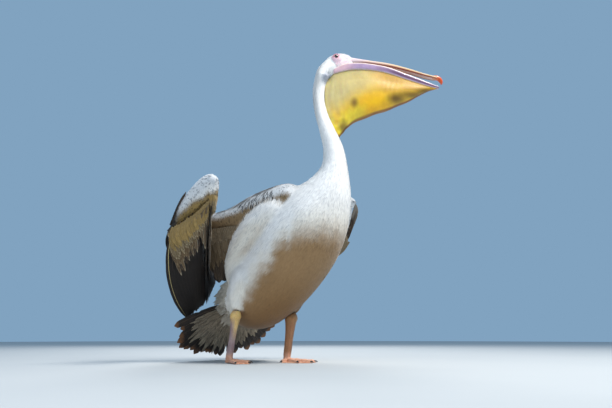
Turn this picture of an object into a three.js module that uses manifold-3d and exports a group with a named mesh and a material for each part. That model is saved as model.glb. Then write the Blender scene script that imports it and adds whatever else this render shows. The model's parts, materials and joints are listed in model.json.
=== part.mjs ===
// A great white pelican standing with its neck stretched up, its head turned to its left, its right
// wing half opened and drooping, its left wing held a little off the body and its tail fanned.
// Millimetres, +Z up, the bird faces -Y and its left side is +X. The floor is z = 0.
import * as THREE from "three";
import { mergeVertices } from "three/addons/utils/BufferGeometryUtils.js";
import Module from "manifold-3d";

const wasm = await Module();
wasm.setup();

// ---- Driving dimensions -------------------------------------------------------------------------

const GAP = 0.5; // between two neighbouring pieces
const AROUND = 16; // points around the trunk and neck
const V = (x, y, z) => new THREE.Vector3(x, y, z);

// Trunk and neck, from tail root to nape: centre (y, z), half width across, half depth back to belly.
const SPINE = [
  { y: 196, z: 236, wide: 40, deep: 30 },
  { y: 140, z: 236, wide: 92, deep: 84 },
  { y: 58, z: 254, wide: 128, deep: 136 },
  { y: -36, z: 310, wide: 148, deep: 162 },
  { y: -146, z: 396, wide: 158, deep: 172 },
  { y: -250, z: 496, wide: 156, deep: 168 },
  { y: -332, z: 588, wide: 130, deep: 140 },
  { y: -388, z: 664, wide: 89, deep: 97 },
  { y: -414, z: 738, wide: 53, deep: 59 },
  { y: -410, z: 812, wide: 39, deep: 44 },
  { y: -382, z: 888, wide: 32, deep: 34 },
  { y: -352, z: 962, wide: 27, deep: 28 },
  { y: -338, z: 1030, wide: 25, deep: 26 },
  { y: -340, z: 1092, wide: 26, deep: 28 },
  { y: -362, z: 1142, wide: 25, deep: 27 },
];
// Side of the body from shoulder to thigh, full of long feathers; x is mirrored for the right.
const FLANK = {
  path: [
    V(58, -262, 588),
    V(88, -214, 604),
    V(110, -84, 526),
    V(108, 10, 430),
    V(94, 50, 334),
    V(62, 70, 262),
  ],
  radii: [20, 62, 73, 63, 46, 16],
};

// The head: its middle between the eyes, and how far it is turned to the left and dipped.
const HEAD = V(47, -385, 1209);
const HEAD_SCALE = 1.03;
const NAPE = {
  path: [V(0, -342, 1100), V(6, -354, 1146), V(34, -374, 1186)],
  radii: [26, 29, 31],
};
const HEAD_TURN = 45; // degrees from the trunk's heading
const BILL_DIP = -2.4; // tips the profile below, which already slopes down

// Profiles in the head's own frame: u forward, w up from the eye, half width v.
const SKULL = [
  { u: -66, top: -38, bottom: -62, half: 12 },
  { u: -52, top: -14, bottom: -80, half: 24 },
  { u: -30, top: 9, bottom: -84, half: 30 },
  { u: 0, top: 22, bottom: -76, half: 32 },
  { u: 28, top: 24, bottom: -68, half: 30 },
  { u: 52, top: 16, bottom: -60, half: 25 },
  { u: 72, top: 6, bottom: -34, half: 19 },
];
const MAXILLA = [
  { u: 46, top: 12, bottom: -26, half: 19 },
  { u: 76, top: 4, bottom: -27, half: 19 },
  { u: 132, top: -9, bottom: -33, half: 18 },
  { u: 211, top: -25, bottom: -49, half: 16 },
  { u: 290, top: -52, bottom: -73, half: 16 },
  { u: 350, top: -77, bottom: -93, half: 18 },
  { u: 385, top: -88, bottom: -101, half: 15 },
];
const NAIL = [
  { u: 380, top: -83, bottom: -100, half: 11 },
  { u: 396, top: -86, bottom: -106, half: 11 },
  { u: 407, top: -97, bottom: -118, half: 8 },
  { u: 408, top: -112, bottom: -124, half: 4 },
];
// One side of the lower jaw, from the jaw joint to the tip: v is its distance from the middle.
const RAMUS = [
  { u: -14, w: -60, v: 24, high: 10, thick: 7 },
  { u: 30, w: -47, v: 29, high: 15, thick: 7 },
  { u: 80, w: -45, v: 33, high: 14, thick: 6.5 },
  { u: 140, w: -54, v: 36, high: 13, thick: 6 },
  { u: 200, w: -69, v: 35, high: 13, thick: 6 },
  { u: 260, w: -92, v: 30, high: 12, thick: 5.5 },
  { u: 320, w: -113, v: 21, high: 10, thick: 5 },
  { u: 370, w: -129, v: 11, high: 7, thick: 5 },
  { u: 398, w: -136, v: 3, high: 4, thick: 5 },
];
const POUCH = [
  { u: -52, top: -84, bottom: -262, half: 15 },
  { u: -30, top: -74, bottom: -306, half: 22 },
  { u: -8, top: -66, bottom: -322, half: 27 },
  { u: 20, top: -60, bottom: -294, half: 34 },
  { u: 60, top: -58, bottom: -264, half: 41 },
  { u: 120, top: -64, bottom: -241, half: 45 },
  { u: 190, top: -80, bottom: -219, half: 43 },
  { u: 250, top: -103, bottom: -197, half: 36 },
  { u: 310, top: -122, bottom: -169, half: 25 },
  { u: 360, top: -133, bottom: -145, half: 13 },
  { u: 386, top: -136, bottom: -140, half: 6 },
];
const EYE = { u: 0, v: 26, w: 0, radius: 9 };

// Legs: hip inside the trunk, ankle, and foot, for the right side then the left.
const LEGS = {
  r: {
    thigh: [V(-88, -34, 330), V(-118, -4, 258), V(-138, -6, 202)],
    ankle: V(-140, -5, 184),
    heel: V(-154, 12, 0),
    radii: [17, 22, 17, 17],
    heading: 268,
  },
  l: {
    thigh: [V(86, -76, 320), V(76, -102, 246), V(63, -112, 196)],
    ankle: V(61, -113, 178),
    heel: V(54, -98, 0),
    radii: [22, 27, 21, 18],
    heading: 285,
  },
};
const THIGH_RADII = [86, 58, 25];
// Toes, inner to outer: hind toe, inner, middle, outer. Angle from the foot's heading, and length.
const TOES = [
  { name: "hind", angle: 86, length: 48 },
  { name: "inner", angle: 31, length: 92 },
  { name: "middle", angle: 4, length: 122 },
  { name: "outer", angle: -24, length: 118 },
];
const CLAW_LENGTH = 15;

// Wing skeletons: shoulder, elbow, wrist and the end of the hand.
const WINGS = {
  r: {
    shoulder: V(-112, -216, 622),
    elbow: V(-268, 92, 574),
    wrist: V(-432, -196, 640),
    finger: V(-484, -36, 500),
    tip: V(-196, 258, 184),
    innerTip: V(-106, 250, 232),
    elbowTip: V(-128, 138, 322),
    chord: 232,
  },
  l: {
    shoulder: V(112, -216, 622),
    elbow: V(250, 96, 560),
    wrist: V(352, -204, 668),
    finger: V(420, -96, 528),
    tip: V(186, 266, 190),
    innerTip: V(104, 254, 236),
    elbowTip: V(130, 140, 322),
    chord: 205,
  },
};

// Tail: its root, how far it slopes down, the length of its feathers and how far they fan.
const TAIL = { root: V(0, 176, 250), slope: 58, length: 285, fan: 76, feathers: 12, droop: 34 };

// ---- Solids from rings --------------------------------------------------------------------------

// A closed surface through rings of equal length, each end closed by a fan to its centre.
function loft(rings) {
  const n = rings[0].length;
  const points = rings.flat();
  const faces = [];
  for (let i = 0; i + 1 < rings.length; i++) {
    for (let j = 0; j < n; j++) {
      const a = i * n + j;
      const b = i * n + ((j + 1) % n);
      faces.push(a, b, b + n, a, b + n, a + n);
    }
  }
  for (const end of [0, rings.length - 1]) {
    const middle = points.length;
    const centre = rings[end].reduce((sum, p) => sum.add(p), V(0, 0, 0)).divideScalar(n);
    points.push(centre);
    for (let j = 0; j < n; j++) {
      const a = end * n + j;
      const b = end * n + ((j + 1) % n);
      faces.push(...(end === 0 ? [middle, b, a] : [middle, a, b]));
    }
  }
  return new THREE.BufferGeometry().setFromPoints(points).setIndex(faces);
}

// The geometry as a manifold-3d solid, turned right side out.
function solid(geometry) {
  const bare = geometry.clone();
  bare.deleteAttribute("normal");
  bare.deleteAttribute("uv");
  const merged = mergeVertices(bare, 1e-4);
  const make = (triVerts) =>
    new wasm.Manifold(
      new wasm.Mesh({ numProp: 3, vertProperties: merged.attributes.position.array, triVerts }),
    );
  const made = make(new Uint32Array(merged.index.array));
  return made.volume() > 0 ? made : make(new Uint32Array(merged.index.array).reverse());
}

function geometryOf(made) {
  const mesh = made.getMesh();
  const points = new Float32Array(mesh.numVert * 3);
  for (let i = 0; i < mesh.numVert; i++) {
    points.set(mesh.vertProperties.subarray(i * mesh.numProp, i * mesh.numProp + 3), i * 3);
  }
  return new THREE.BufferGeometry()
    .setAttribute("position", new THREE.BufferAttribute(points, 3))
    .setIndex(new THREE.BufferAttribute(mesh.triVerts, 1));
}

const join = (solids) => solids.reduce((all, one) => all.add(one));

// The largest body of a solid that a cut may have left in several.
const largest = (made) =>
  made.decompose().reduce((best, one) => (one.volume() > best.volume() ? one : best));

// The solid with its surface moved out by a gap, to cut a neighbour with.
function grown(made, by = GAP) {
  const geometry = geometryOf(made);
  geometry.computeVertexNormals();
  const { position, normal } = geometry.attributes;
  for (let i = 0; i < position.count; i++) {
    const at = V().fromBufferAttribute(position, i);
    at.addScaledVector(V().fromBufferAttribute(normal, i), by);
    position.setXYZ(i, at.x, at.y, at.z);
  }
  return solid(geometry);
}

const without = (made, ...neighbours) =>
  largest(neighbours.reduce((left, one) => left.subtract(grown(one)).subtract(one), made));

// The half of space that normal points to from point, as a large box.
const HALF_SPACE = 3000;
function halfSpace(point, normal) {
  const box = new THREE.BoxGeometry(HALF_SPACE, HALF_SPACE, HALF_SPACE);
  box.translate(0, 0, HALF_SPACE / 2 + GAP / 2);
  const turn = new THREE.Quaternion().setFromUnitVectors(V(0, 0, 1), normal.clone().normalize());
  box.applyQuaternion(turn);
  box.translate(point.x, point.y, point.z);
  return solid(box);
}

// The two sides of a thin plane cut: first the side that normal points to.
function part(made, point, normal) {
  return [normal, normal.clone().negate()].map((way) => largest(made.intersect(halfSpace(point, way))));
}

// A smooth value along a list of stations, at t from 0 to 1.
function along(stations, key, t) {
  const curve = new THREE.CatmullRomCurve3(stations.map((s, i) => V(i, s[key], 0)));
  return curve.getPoint(t).y;
}

const ring = (count, place) =>
  Array.from({ length: count }, (_, j) => place((j / count) * 2 * Math.PI));

// A round tube whose radius follows the listed radii, through the listed points.
function tube(points, radii, around, steps, flatten = 1, flatWay = null) {
  const curve = new THREE.CatmullRomCurve3(points);
  const stations = radii.map((radius) => ({ radius }));
  const frames = curve.computeFrenetFrames(steps, false);
  const rings = [];
  for (let i = 0; i <= steps; i++) {
    const t = i / steps;
    const at = curve.getPoint(t);
    const tangent = curve.getTangent(t);
    const side = flatWay ? V().crossVectors(tangent, flatWay).normalize() : frames.normals[i];
    const up = V().crossVectors(side, tangent).normalize();
    const radius = along(stations, "radius", t);
    rings.push(
      ring(around, (a) =>
        at.clone()
          .addScaledVector(side, radius * Math.cos(a))
          .addScaledVector(up, radius * flatten * Math.sin(a)),
      ),
    );
  }
  return solid(loft(rings));
}

// ---- Trunk and neck -----------------------------------------------------------------------------

const TRUNK_STEPS = 25;
const spineCurve = new THREE.CatmullRomCurve3(SPINE.map((s) => V(0, s.y, s.z)));

function trunkAndNeck() {
  const rings = [];
  for (let i = 0; i <= TRUNK_STEPS; i++) {
    const t = i / TRUNK_STEPS;
    const at = spineCurve.getPoint(t);
    const tangent = spineCurve.getTangent(t);
    const back = V().crossVectors(V(1, 0, 0), tangent).normalize();
    const wide = along(SPINE, "wide", t);
    const deep = along(SPINE, "deep", t);
    rings.push(
      ring(AROUND, (a) =>
        at.clone().add(V(wide * Math.cos(a), 0, 0)).addScaledVector(back, -deep * Math.sin(a)),
      ),
    );
  }
  return solid(loft(rings));
}

// ---- Head, bill and pouch -----------------------------------------------------------------------

const headTurn = new THREE.Matrix4()
  .makeTranslation(HEAD)
  .multiply(new THREE.Matrix4().makeRotationZ(THREE.MathUtils.degToRad(HEAD_TURN - 90)))
  .multiply(new THREE.Matrix4().makeRotationY(THREE.MathUtils.degToRad(BILL_DIP)));
// A point given as forward u, left v and up w of the head's middle.
const inHead = (u, v, w) => V(u, v, w).multiplyScalar(HEAD_SCALE).applyMatrix4(headTurn);

// A solid through upright oval sections in the head's frame. square over 1 gives fuller corners.
function headLoft(stations, steps, around, square = 1) {
  const rings = [];
  for (let i = 0; i <= steps; i++) {
    const t = i / steps;
    const u = along(stations, "u", t);
    const top = along(stations, "top", t);
    const bottom = along(stations, "bottom", t);
    const half = along(stations, "half", t);
    const bulge = (x) => Math.sign(x) * Math.abs(x) ** (1 / square);
    const middle = (top + bottom) / 2;
    const high = (top - bottom) / 2;
    rings.push(
      ring(around, (a) => inHead(u, half * bulge(Math.cos(a)), middle + high * bulge(Math.sin(a)))),
    );
  }
  return solid(loft(rings));
}

function lowerJaw() {
  const sides = [1, -1].map((side) => {
    const rings = [];
    const steps = 8;
    for (let i = 0; i <= steps; i++) {
      const t = i / steps;
      const [u, w, v, high, thick] = ["u", "w", "v", "high", "thick"].map((key) => along(RAMUS, key, t));
      rings.push(ring(6, (a) => inHead(u, side * v + thick * Math.cos(a), w + high * Math.sin(a))));
    }
    return solid(loft(rings));
  });
  return join(sides);
}

// ---- Legs and feet ------------------------------------------------------------------------------

const SOLE = 3.2; // thickness of the web
const TOE_RADII = [9.5, 7, 5.2]; // from the heel to the claw
const HEEL_HEIGHT = 32;
const LEG_FLAT = 0.7; // legs are this much narrower across than from front to back
const onFloor = (angle) => V(Math.cos(angle), Math.sin(angle), 0);

function footParts(side) {
  const leg = LEGS[side];
  const inward = side === "r" ? 1 : -1;
  const angleOf = (toe) => THREE.MathUtils.degToRad(leg.heading + inward * toe.angle);
  const heel = leg.heel;
  const tips = TOES.map((toe) => heel.clone().addScaledVector(onFloor(angleOf(toe)), toe.length));
  // The web: a fan of the toe tips, its edge drawn in between them.
  const outline = new THREE.Shape();
  const behind = heel.clone().addScaledVector(onFloor(THREE.MathUtils.degToRad(leg.heading)), -12);
  outline.moveTo(behind.x, behind.y);
  tips.forEach((tip, i) => {
    if (i > 0) {
      const middle = tip.clone().add(tips[i - 1]).divideScalar(2).lerp(heel, 0.2);
      outline.quadraticCurveTo(middle.x, middle.y, tip.x, tip.y);
    } else outline.lineTo(tip.x, tip.y);
  });
  outline.closePath();
  const flat = { depth: SOLE, bevelEnabled: false, curveSegments: 3 };
  const web = solid(new THREE.ExtrudeGeometry(outline, flat));
  const toes = TOES.map((toe, i) => {
    const path = TOE_RADII.map((radius, k) =>
      heel.clone().lerp(tips[i], (0.94 * k) / (TOE_RADII.length - 1)).setZ(radius + SOLE / 4),
    );
    return tube(path, TOE_RADII, 6, 2);
  });
  const heelTop = leg.heel.clone().setZ(HEEL_HEIGHT);
  const heelPad = tube([heelTop, leg.heel.clone().setZ(SOLE / 2)], [16, 19], 8, 1, LEG_FLAT, V(1, 0, 0));
  const aboveFloor = halfSpace(V(0, 0, -GAP / 2), V(0, 0, 1));
  const foot = join([web, ...toes, heelPad]).intersect(aboveFloor);
  const claws = TOES.map((toe, i) => {
    const way = onFloor(angleOf(toe));
    const root = heel.clone().lerp(tips[i], 0.93).setZ(6);
    const bend = root.clone().addScaledVector(way, CLAW_LENGTH * 0.6).setZ(6.5);
    const point = root.clone().addScaledVector(way, CLAW_LENGTH).setZ(2.2);
    return tube([root, bend, point], [4, 3, 0.9], 5, 2).intersect(aboveFloor);
  });
  return { foot: largest(foot), claws };
}

// ---- Feathers -----------------------------------------------------------------------------------

const QUILL = 1.7; // half thickness of a row of flight feathers along each shaft
const EDGE = 0.8; // and where two vanes meet
const NOTCH = 0.84; // how far along a feather its vane leaves its neighbour's
const SHOULDER = 0.95; // where its tip begins to narrow

// A closed plate: a sheet of triangles, each point moved out by its half thickness either way.
function plate(points, faces) {
  const n = points.length;
  const upper = points.map(({ at, normal, half }) => at.clone().addScaledVector(normal, half));
  const lower = points.map(({ at, normal, half }) => at.clone().addScaledVector(normal, -half));
  const edges = new Map();
  for (const [a, b, c] of faces) {
    for (const [from, to] of [[a, b], [b, c], [c, a]]) {
      if (!edges.delete(`${to},${from}`)) edges.set(`${from},${to}`, [from, to]);
    }
  }
  const index = faces.flatMap(([a, b, c]) => [a, b, c, n + a, n + c, n + b]);
  for (const [from, to] of edges.values()) index.push(to, from, n + from, to, n + from, n + to);
  return solid(new THREE.BufferGeometry().setFromPoints([...upper, ...lower]).setIndex(index));
}

// A row of overlapping flight feathers, its roots and tips on two curves: a pleated fan that each
// shaft stiffens, with free tips. bow curves the feathers along their length, out of the fan, and
// sweep curves the first of them sideways.
function featherRow({ roots, tips, count, bow = 0, sweep = 0 }) {
  const rootCurve = new THREE.CatmullRomCurve3(roots);
  const tipCurve = new THREE.CatmullRomCurve3(tips);
  const points = [];
  const faces = [];
  const add = (across, down, half) => {
    const at = (t) => rootCurve.getPoint(t).lerp(tipCurve.getPoint(t), down);
    const [before, after] = [Math.max(0, across - 0.02), Math.min(1, across + 0.02)];
    const spread = V().subVectors(at(after), at(before));
    const shaft = V().subVectors(tipCurve.getPoint(across), rootCurve.getPoint(across));
    const normal = V().crossVectors(spread, shaft).normalize();
    const curved = 4 * down * (1 - down);
    const place = at(across)
      .addScaledVector(normal, bow * curved)
      .addScaledVector(spread.normalize(), -sweep * curved * (1 - across));
    points.push({ at: place, normal, half });
    return points.length - 1;
  };
  const edgeOf = (across) => [0, 0.5, NOTCH].map((down) => add(across, down, EDGE));
  let left = edgeOf(0);
  for (let i = 0; i < count; i++) {
    const middle = (i + 0.5) / count;
    const shaft = [0, 0.5, NOTCH].map((down) => add(middle, down, QUILL));
    const tip = add(middle, 1, EDGE);
    const [shoulderLeft, shoulderRight] = [-0.32, 0.32].map((s) => add(middle + s / count, SHOULDER, EDGE));
    const right = edgeOf((i + 1) / count);
    for (const k of [0, 1]) {
      faces.push([left[k], shaft[k], shaft[k + 1]], [left[k], shaft[k + 1], left[k + 1]]);
      faces.push([shaft[k], right[k], right[k + 1]], [shaft[k], right[k + 1], shaft[k + 1]]);
    }
    faces.push([left[2], shaft[2], shoulderLeft], [shoulderLeft, shaft[2], tip]);
    faces.push([shaft[2], right[2], shoulderRight], [shaft[2], shoulderRight, tip]);
    left = right;
  }
  return plate(points, faces);
}

// ---- Wings --------------------------------------------------------------------------------------

const AEROFOIL = [
  [0, 0], [0.1, 0.4], [0.42, 0.42], [1, 0.05], [1, -0.05], [0.42, -0.4], [0.1, -0.38],
];

// A part of the arm clad in its coverts: a section at each station, drawn from the leading edge at
// along lie, the way the feathers point; chord and thick are its size.
function covertedArm(stations, steps) {
  const vector = (key, t) => new THREE.CatmullRomCurve3(stations.map((s) => s[key])).getPoint(t);
  const rings = [];
  for (let i = 0; i <= steps; i++) {
    const t = i / steps;
    const at = vector("at", t);
    const lie = vector("lie", t).normalize();
    const ahead = V().subVectors(vector("at", Math.min(1, t + 0.02)), vector("at", Math.max(0, t - 0.02)));
    const up = V().crossVectors(lie, ahead).normalize();
    const chord = along(stations, "chord", t);
    const thick = along(stations, "thick", t);
    rings.push(
      AEROFOIL.map(([x, y]) =>
        at.clone().addScaledVector(lie, chord * x).addScaledVector(up, thick * y),
      ),
    );
  }
  return solid(loft(rings));
}

// One wing, half opened: the covert-clad pieces of its arm and its three rows of flight feathers,
// which hang from the arm. inward points to the body along x.
function wing({ shoulder, elbow, wrist, finger, tip, innerTip, elbowTip, chord }, inward) {
  const out = -inward;
  const way = (from, to) => V().subVectors(to, from).normalize();
  const below = (joint, direction, distance) => joint.clone().addScaledVector(direction, distance);
  const upper = (t, height) => shoulder.clone().lerp(elbow, t).setZ(height);
  const primaryWay = way(finger, tip);
  const wristWay = way(wrist, innerTip);
  const elbowWay = way(elbow, elbowTip);
  const upperArm = covertedArm(
    [
      { at: shoulder.clone().add(V(54 * inward, -84, 30)), lie: elbowWay, chord: 90, thick: 74 },
      { at: shoulder.clone().add(V(14 * inward, -50, 66)), lie: elbowWay, chord: 160, thick: 118 },
      { at: upper(0.28, shoulder.z + 38), lie: elbowWay, chord: 165, thick: 98 },
      { at: upper(0.65, elbow.z + 30), lie: elbowWay, chord: 150, thick: 54 },
      { at: elbow.clone().add(V(0, 12, 18)), lie: elbowWay, chord: 130, thick: 36 },
    ],
    8,
  );
  const forearm = covertedArm(
    [
      { at: elbow.clone().add(V(6 * out, 4, 16)), lie: elbowWay, chord: 150, thick: 38 },
      { at: elbow.clone().lerp(wrist, 0.5).add(V(0, 0, 22)), lie: wristWay, chord: 185, thick: 44 },
      { at: wrist.clone().add(V(0, 10, 30)), lie: wristWay, chord: 190, thick: 70 },
    ],
    5,
  );
  const hand = covertedArm(
    [
      { at: wrist.clone().add(V(14 * inward, -34, 18)), lie: wristWay, chord: chord * 0.72, thick: 44 },
      { at: wrist.clone().add(V(0, -6, 36)), lie: wristWay, chord: chord * 0.96, thick: 84 },
      { at: wrist.clone().lerp(finger, 0.5).add(V(20 * out, 4, 26)), lie: primaryWay, chord, thick: 60 },
      { at: finger.clone(), lie: primaryWay, chord: chord * 0.7, thick: 26 },
      { at: below(finger, way(wrist, finger), 20), lie: primaryWay, chord: chord * 0.4, thick: 8 },
    ],
    8,
  );
  const armpit = shoulder.clone().lerp(elbow, 0.4);
  return {
    upperArm,
    forearm,
    hand,
    primaries: {
      roots: [
        below(finger, primaryWay, 20),
        below(finger.clone().lerp(wrist, 0.5), primaryWay, 60),
        below(wrist, wristWay, 90),
      ],
      tips: [tip, tip.clone().lerp(innerTip, 0.4), innerTip],
      count: 6,
      bow: 12,
      sweep: 42,
    },
    secondaries: {
      roots: [
        below(wrist, wristWay, 90),
        below(wrist.clone().lerp(elbow, 0.5), wristWay, 90),
        below(elbow, elbowWay, 60),
      ],
      tips: [innerTip, innerTip.clone().lerp(elbowTip, 0.5), elbowTip],
      count: 6,
      bow: 6,
    },
    tertials: {
      roots: [below(elbow, elbowWay, 60), below(armpit, elbowWay, 70)],
      tips: [elbowTip, below(armpit, elbowWay, 280)],
      count: 4,
      bow: 5,
    },
  };
}

// ---- Tail ---------------------------------------------------------------------------------------

const tailSlope = THREE.MathUtils.degToRad(TAIL.slope);
const tailWay = V(0, Math.cos(tailSlope), -Math.sin(tailSlope));
const tailUp = V(0, Math.sin(tailSlope), Math.cos(tailSlope));

// A point of the fanned tail: angle from its middle, distance from its root, height over its plane.
function inTail(angle, distance, height) {
  const sideways = Math.sin(angle) * distance;
  const drop = TAIL.droop * (Math.abs(sideways) / TAIL.length) ** 2;
  return TAIL.root
    .clone()
    .add(V(sideways, 0, -drop))
    .addScaledVector(tailWay, Math.cos(angle) * distance)
    .addScaledVector(tailUp, height);
}

function tail() {
  const fan = THREE.MathUtils.degToRad(TAIL.fan);
  const arc = (distance) => [-1, -0.5, 0, 0.5, 1].map((s) => inTail(s * fan, distance(Math.abs(s)), 0));
  return featherRow({
    roots: arc(() => 40),
    tips: arc((s) => TAIL.length * (0.92 + 0.1 * s)),
    count: TAIL.feathers,
  });
}

// The coverts over and under the root of the tail, as one tapering fan.
function tailCoverts() {
  const stations = [
    { distance: -20, half: 50, thick: 44 },
    { distance: 60, half: 78, thick: 38 },
    { distance: 120, half: 112, thick: 24 },
    { distance: 165, half: 138, thick: 10 },
    { distance: 182, half: 120, thick: 3 },
  ];
  const rings = stations.map(({ distance, half, thick }) =>
    ring(10, (a) => {
      const sideways = half * Math.cos(a);
      const back = distance - (0.28 * sideways * sideways) / 138;
      const angle = Math.atan2(sideways, Math.max(back, 1));
      return inTail(angle, Math.hypot(sideways, back), thick * Math.sin(a));
    }),
  );
  return solid(loft(rings));
}

// ---- Assembly -----------------------------------------------------------------------------------

const shapes = {};
const flanks = [1, -1].map((side) =>
  tube(FLANK.path.map((p) => V(side * p.x, p.y, p.z)), FLANK.radii, 8, 6),
);
const body = join([trunkAndNeck(), ...flanks]);
const nape = tube(NAPE.path, NAPE.radii, 8, 3);
const skull = headLoft(SKULL, 6, 10);
const maxilla = headLoft(MAXILLA, 6, 8, 1.5);
const nail = headLoft(NAIL, 4, 6);
const pouch = headLoft(POUCH, 10, 10, 1.15);
const jaw = lowerJaw();
const eyes = [-1, 1].map((side) => {
  const ball = new THREE.SphereGeometry(EYE.radius, 8, 6);
  const at = inHead(EYE.u, side * EYE.v, EYE.w);
  return solid(ball.translate(at.x, at.y, at.z));
});

const flesh = join([body, nape, skull]);
const atSpine = (t) => [spineCurve.getPoint(t), spineCurve.getTangent(t)];
const [headPiece, belowHead] = part(flesh, V(0, -346, 1106), V(0.3, -0.4, 0.87));
const [neckUpper, belowUpper] = part(belowHead, ...atSpine(0.735));
const [neckLower, trunk] = part(belowUpper, ...atSpine(0.56));
const [breast, abdomen] = part(trunk, ...atSpine(0.25));
[shapes.eye_r, shapes.eye_l] = eyes;
shapes.bill_nail = nail;
shapes.bill_upper = without(maxilla, nail);
shapes.head = without(headPiece, ...eyes, maxilla, jaw);
shapes.bill_lower = without(jaw, maxilla);
shapes.pouch = without(pouch, jaw, maxilla, flesh);
shapes.neck_upper = neckUpper;
shapes.neck_lower = neckLower;
shapes.breast = breast;

const coverts = tailCoverts();
shapes.tail_coverts = without(coverts, trunk);
shapes.tail_feathers = without(tail(), coverts, trunk);

for (const [side, inward] of [["r", 1], ["l", -1]]) {
  const leg = LEGS[side];
  const thigh = tube(leg.thigh, THIGH_RADII, 9, 3);
  const { foot, claws } = footParts(side);
  const shank = tube(
    [
      leg.thigh[2],
      leg.ankle,
      leg.ankle.clone().lerp(leg.heel, 0.4),
      leg.heel.clone().setZ(HEEL_HEIGHT - 6),
    ],
    leg.radii,
    8,
    5,
    LEG_FLAT,
    V(1, 0, 0),
  );
  shapes[`thigh_${side}`] = without(thigh, trunk, shank, coverts);
  shapes[`shank_${side}`] = without(shank, foot, trunk);
  shapes[`foot_${side}`] = without(foot, ...claws);
  claws.forEach((claw, i) => (shapes[`claw_${side}_${TOES[i].name}`] = claw));
  const { upperArm, forearm, hand, primaries, secondaries, tertials } = wing(WINGS[side], inward);
  const freeArm = without(upperArm, body);
  const freeForearm = without(forearm, freeArm);
  const freeHand = without(hand, freeForearm);
  const clear = [freeArm, freeForearm, freeHand, body, thigh];
  shapes[`wing_${side}_upper_arm`] = freeArm;
  shapes[`wing_${side}_forearm`] = freeForearm;
  shapes[`wing_${side}_hand`] = freeHand;
  const outer = without(featherRow(primaries), ...clear);
  const inner = without(featherRow(secondaries), ...clear, outer);
  shapes[`wing_${side}_primaries`] = outer;
  shapes[`wing_${side}_secondaries`] = inner;
  shapes[`wing_${side}_tertials`] = without(featherRow(tertials), ...clear, outer, inner);
}
shapes.abdomen = without(abdomen, shapes.thigh_r);

const COLOURS = {
  head: "#f1eeea",
  neck: "#efedea",
  breast: "#f2f0ec",
  abdomen: "#dccdb4",
  thigh: "#e9e2d6",
  bill_nail: "#d9662c",
  bill: "#c9a09a",
  pouch: "#e2ae3c",
  eye: "#1d1512",
  shank: "#d3ab72",
  foot: "#e2a07f",
  claw: "#4b3c35",
  tail_coverts: "#b7a894",
  tail_feathers: "#3b3029",
  wing: "#d6d0c6",
};
const DARK = /primaries|secondaries|tertials/;
const colourOf = (name) =>
  DARK.test(name) ? "#2d2521" : COLOURS[Object.keys(COLOURS).find((key) => name.startsWith(key))];

const bird = new THREE.Group();
for (const [name, made] of Object.entries(shapes)) {
  const material = new THREE.MeshStandardMaterial({ color: colourOf(name), roughness: 0.7, metalness: 0 });
  const mesh = new THREE.Mesh(geometryOf(made), material);
  mesh.name = name;
  bird.add(mesh);
}
// The origin goes to the middle of the floor under the bird's box.
const middle = new THREE.Box3().setFromObject(bird).getCenter(V());
for (const mesh of bird.children) mesh.geometry.translate(-middle.x, -middle.y, 0);
export default bird;
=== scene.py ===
# A life-size great white pelican, standing with its neck raised, its head turned to its left, its
# right wing half opened and its tail fanned. Metres, +Z up; the bird faces -Y, its left side is +X.
# Shapes are planned in millimetres in the bird's own plan, which PLAN_SHIFT moves to the frame.
import json
import math
from functools import cache

import bmesh
import bpy
import numpy as np
from mathutils import Matrix, Vector
from mathutils.bvhtree import BVHTree

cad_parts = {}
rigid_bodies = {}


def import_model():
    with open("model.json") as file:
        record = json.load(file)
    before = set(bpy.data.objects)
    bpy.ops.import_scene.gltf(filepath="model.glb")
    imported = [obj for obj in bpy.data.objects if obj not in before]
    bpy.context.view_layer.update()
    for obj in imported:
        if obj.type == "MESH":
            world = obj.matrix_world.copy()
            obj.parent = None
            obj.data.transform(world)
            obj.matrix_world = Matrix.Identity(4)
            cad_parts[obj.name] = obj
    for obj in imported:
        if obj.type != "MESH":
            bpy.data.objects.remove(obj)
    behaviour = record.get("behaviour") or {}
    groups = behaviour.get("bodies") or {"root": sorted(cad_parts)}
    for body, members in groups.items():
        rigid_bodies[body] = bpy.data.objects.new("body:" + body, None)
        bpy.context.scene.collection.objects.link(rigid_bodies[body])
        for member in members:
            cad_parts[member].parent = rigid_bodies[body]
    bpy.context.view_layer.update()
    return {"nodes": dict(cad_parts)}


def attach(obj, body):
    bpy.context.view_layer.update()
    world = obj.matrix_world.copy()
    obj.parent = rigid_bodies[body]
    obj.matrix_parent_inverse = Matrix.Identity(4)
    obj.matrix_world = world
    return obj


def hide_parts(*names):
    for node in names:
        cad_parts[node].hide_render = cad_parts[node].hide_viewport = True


for leftover in list(bpy.data.objects):
    bpy.data.objects.remove(leftover)
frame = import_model()
bpy.ops.object.select_all(action="DESELECT")

MM = 0.001
PLAN_SHIFT = np.array([30.786, 187.425, 0.0])
PLAN_TO_FRAME = Matrix.Scale(MM, 4) @ Matrix.Translation(Vector(PLAN_SHIFT))
RIGHT, LEFT = -1, 1
SEED = 41

# ---- Driving dimensions, in plan millimetres ----

# Trunk and neck from tail root to nape: x, y, z of the middle, half width, half depth.
SPINE = [
    (0, 196, 236, 40, 30), (0, 140, 236, 92, 84), (0, 58, 254, 128, 136), (0, -36, 310, 148, 162),
    (0, -146, 396, 158, 172), (0, -250, 496, 156, 168), (0, -332, 588, 130, 140), (0, -388, 664, 89, 97),
    (0, -414, 738, 53, 59), (0, -410, 812, 39, 44), (0, -382, 888, 32, 34), (0, -352, 962, 27, 28),
    (0, -338, 1030, 25, 26), (0, -340, 1092, 26, 28), (0, -362, 1142, 25, 27),
]
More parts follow.
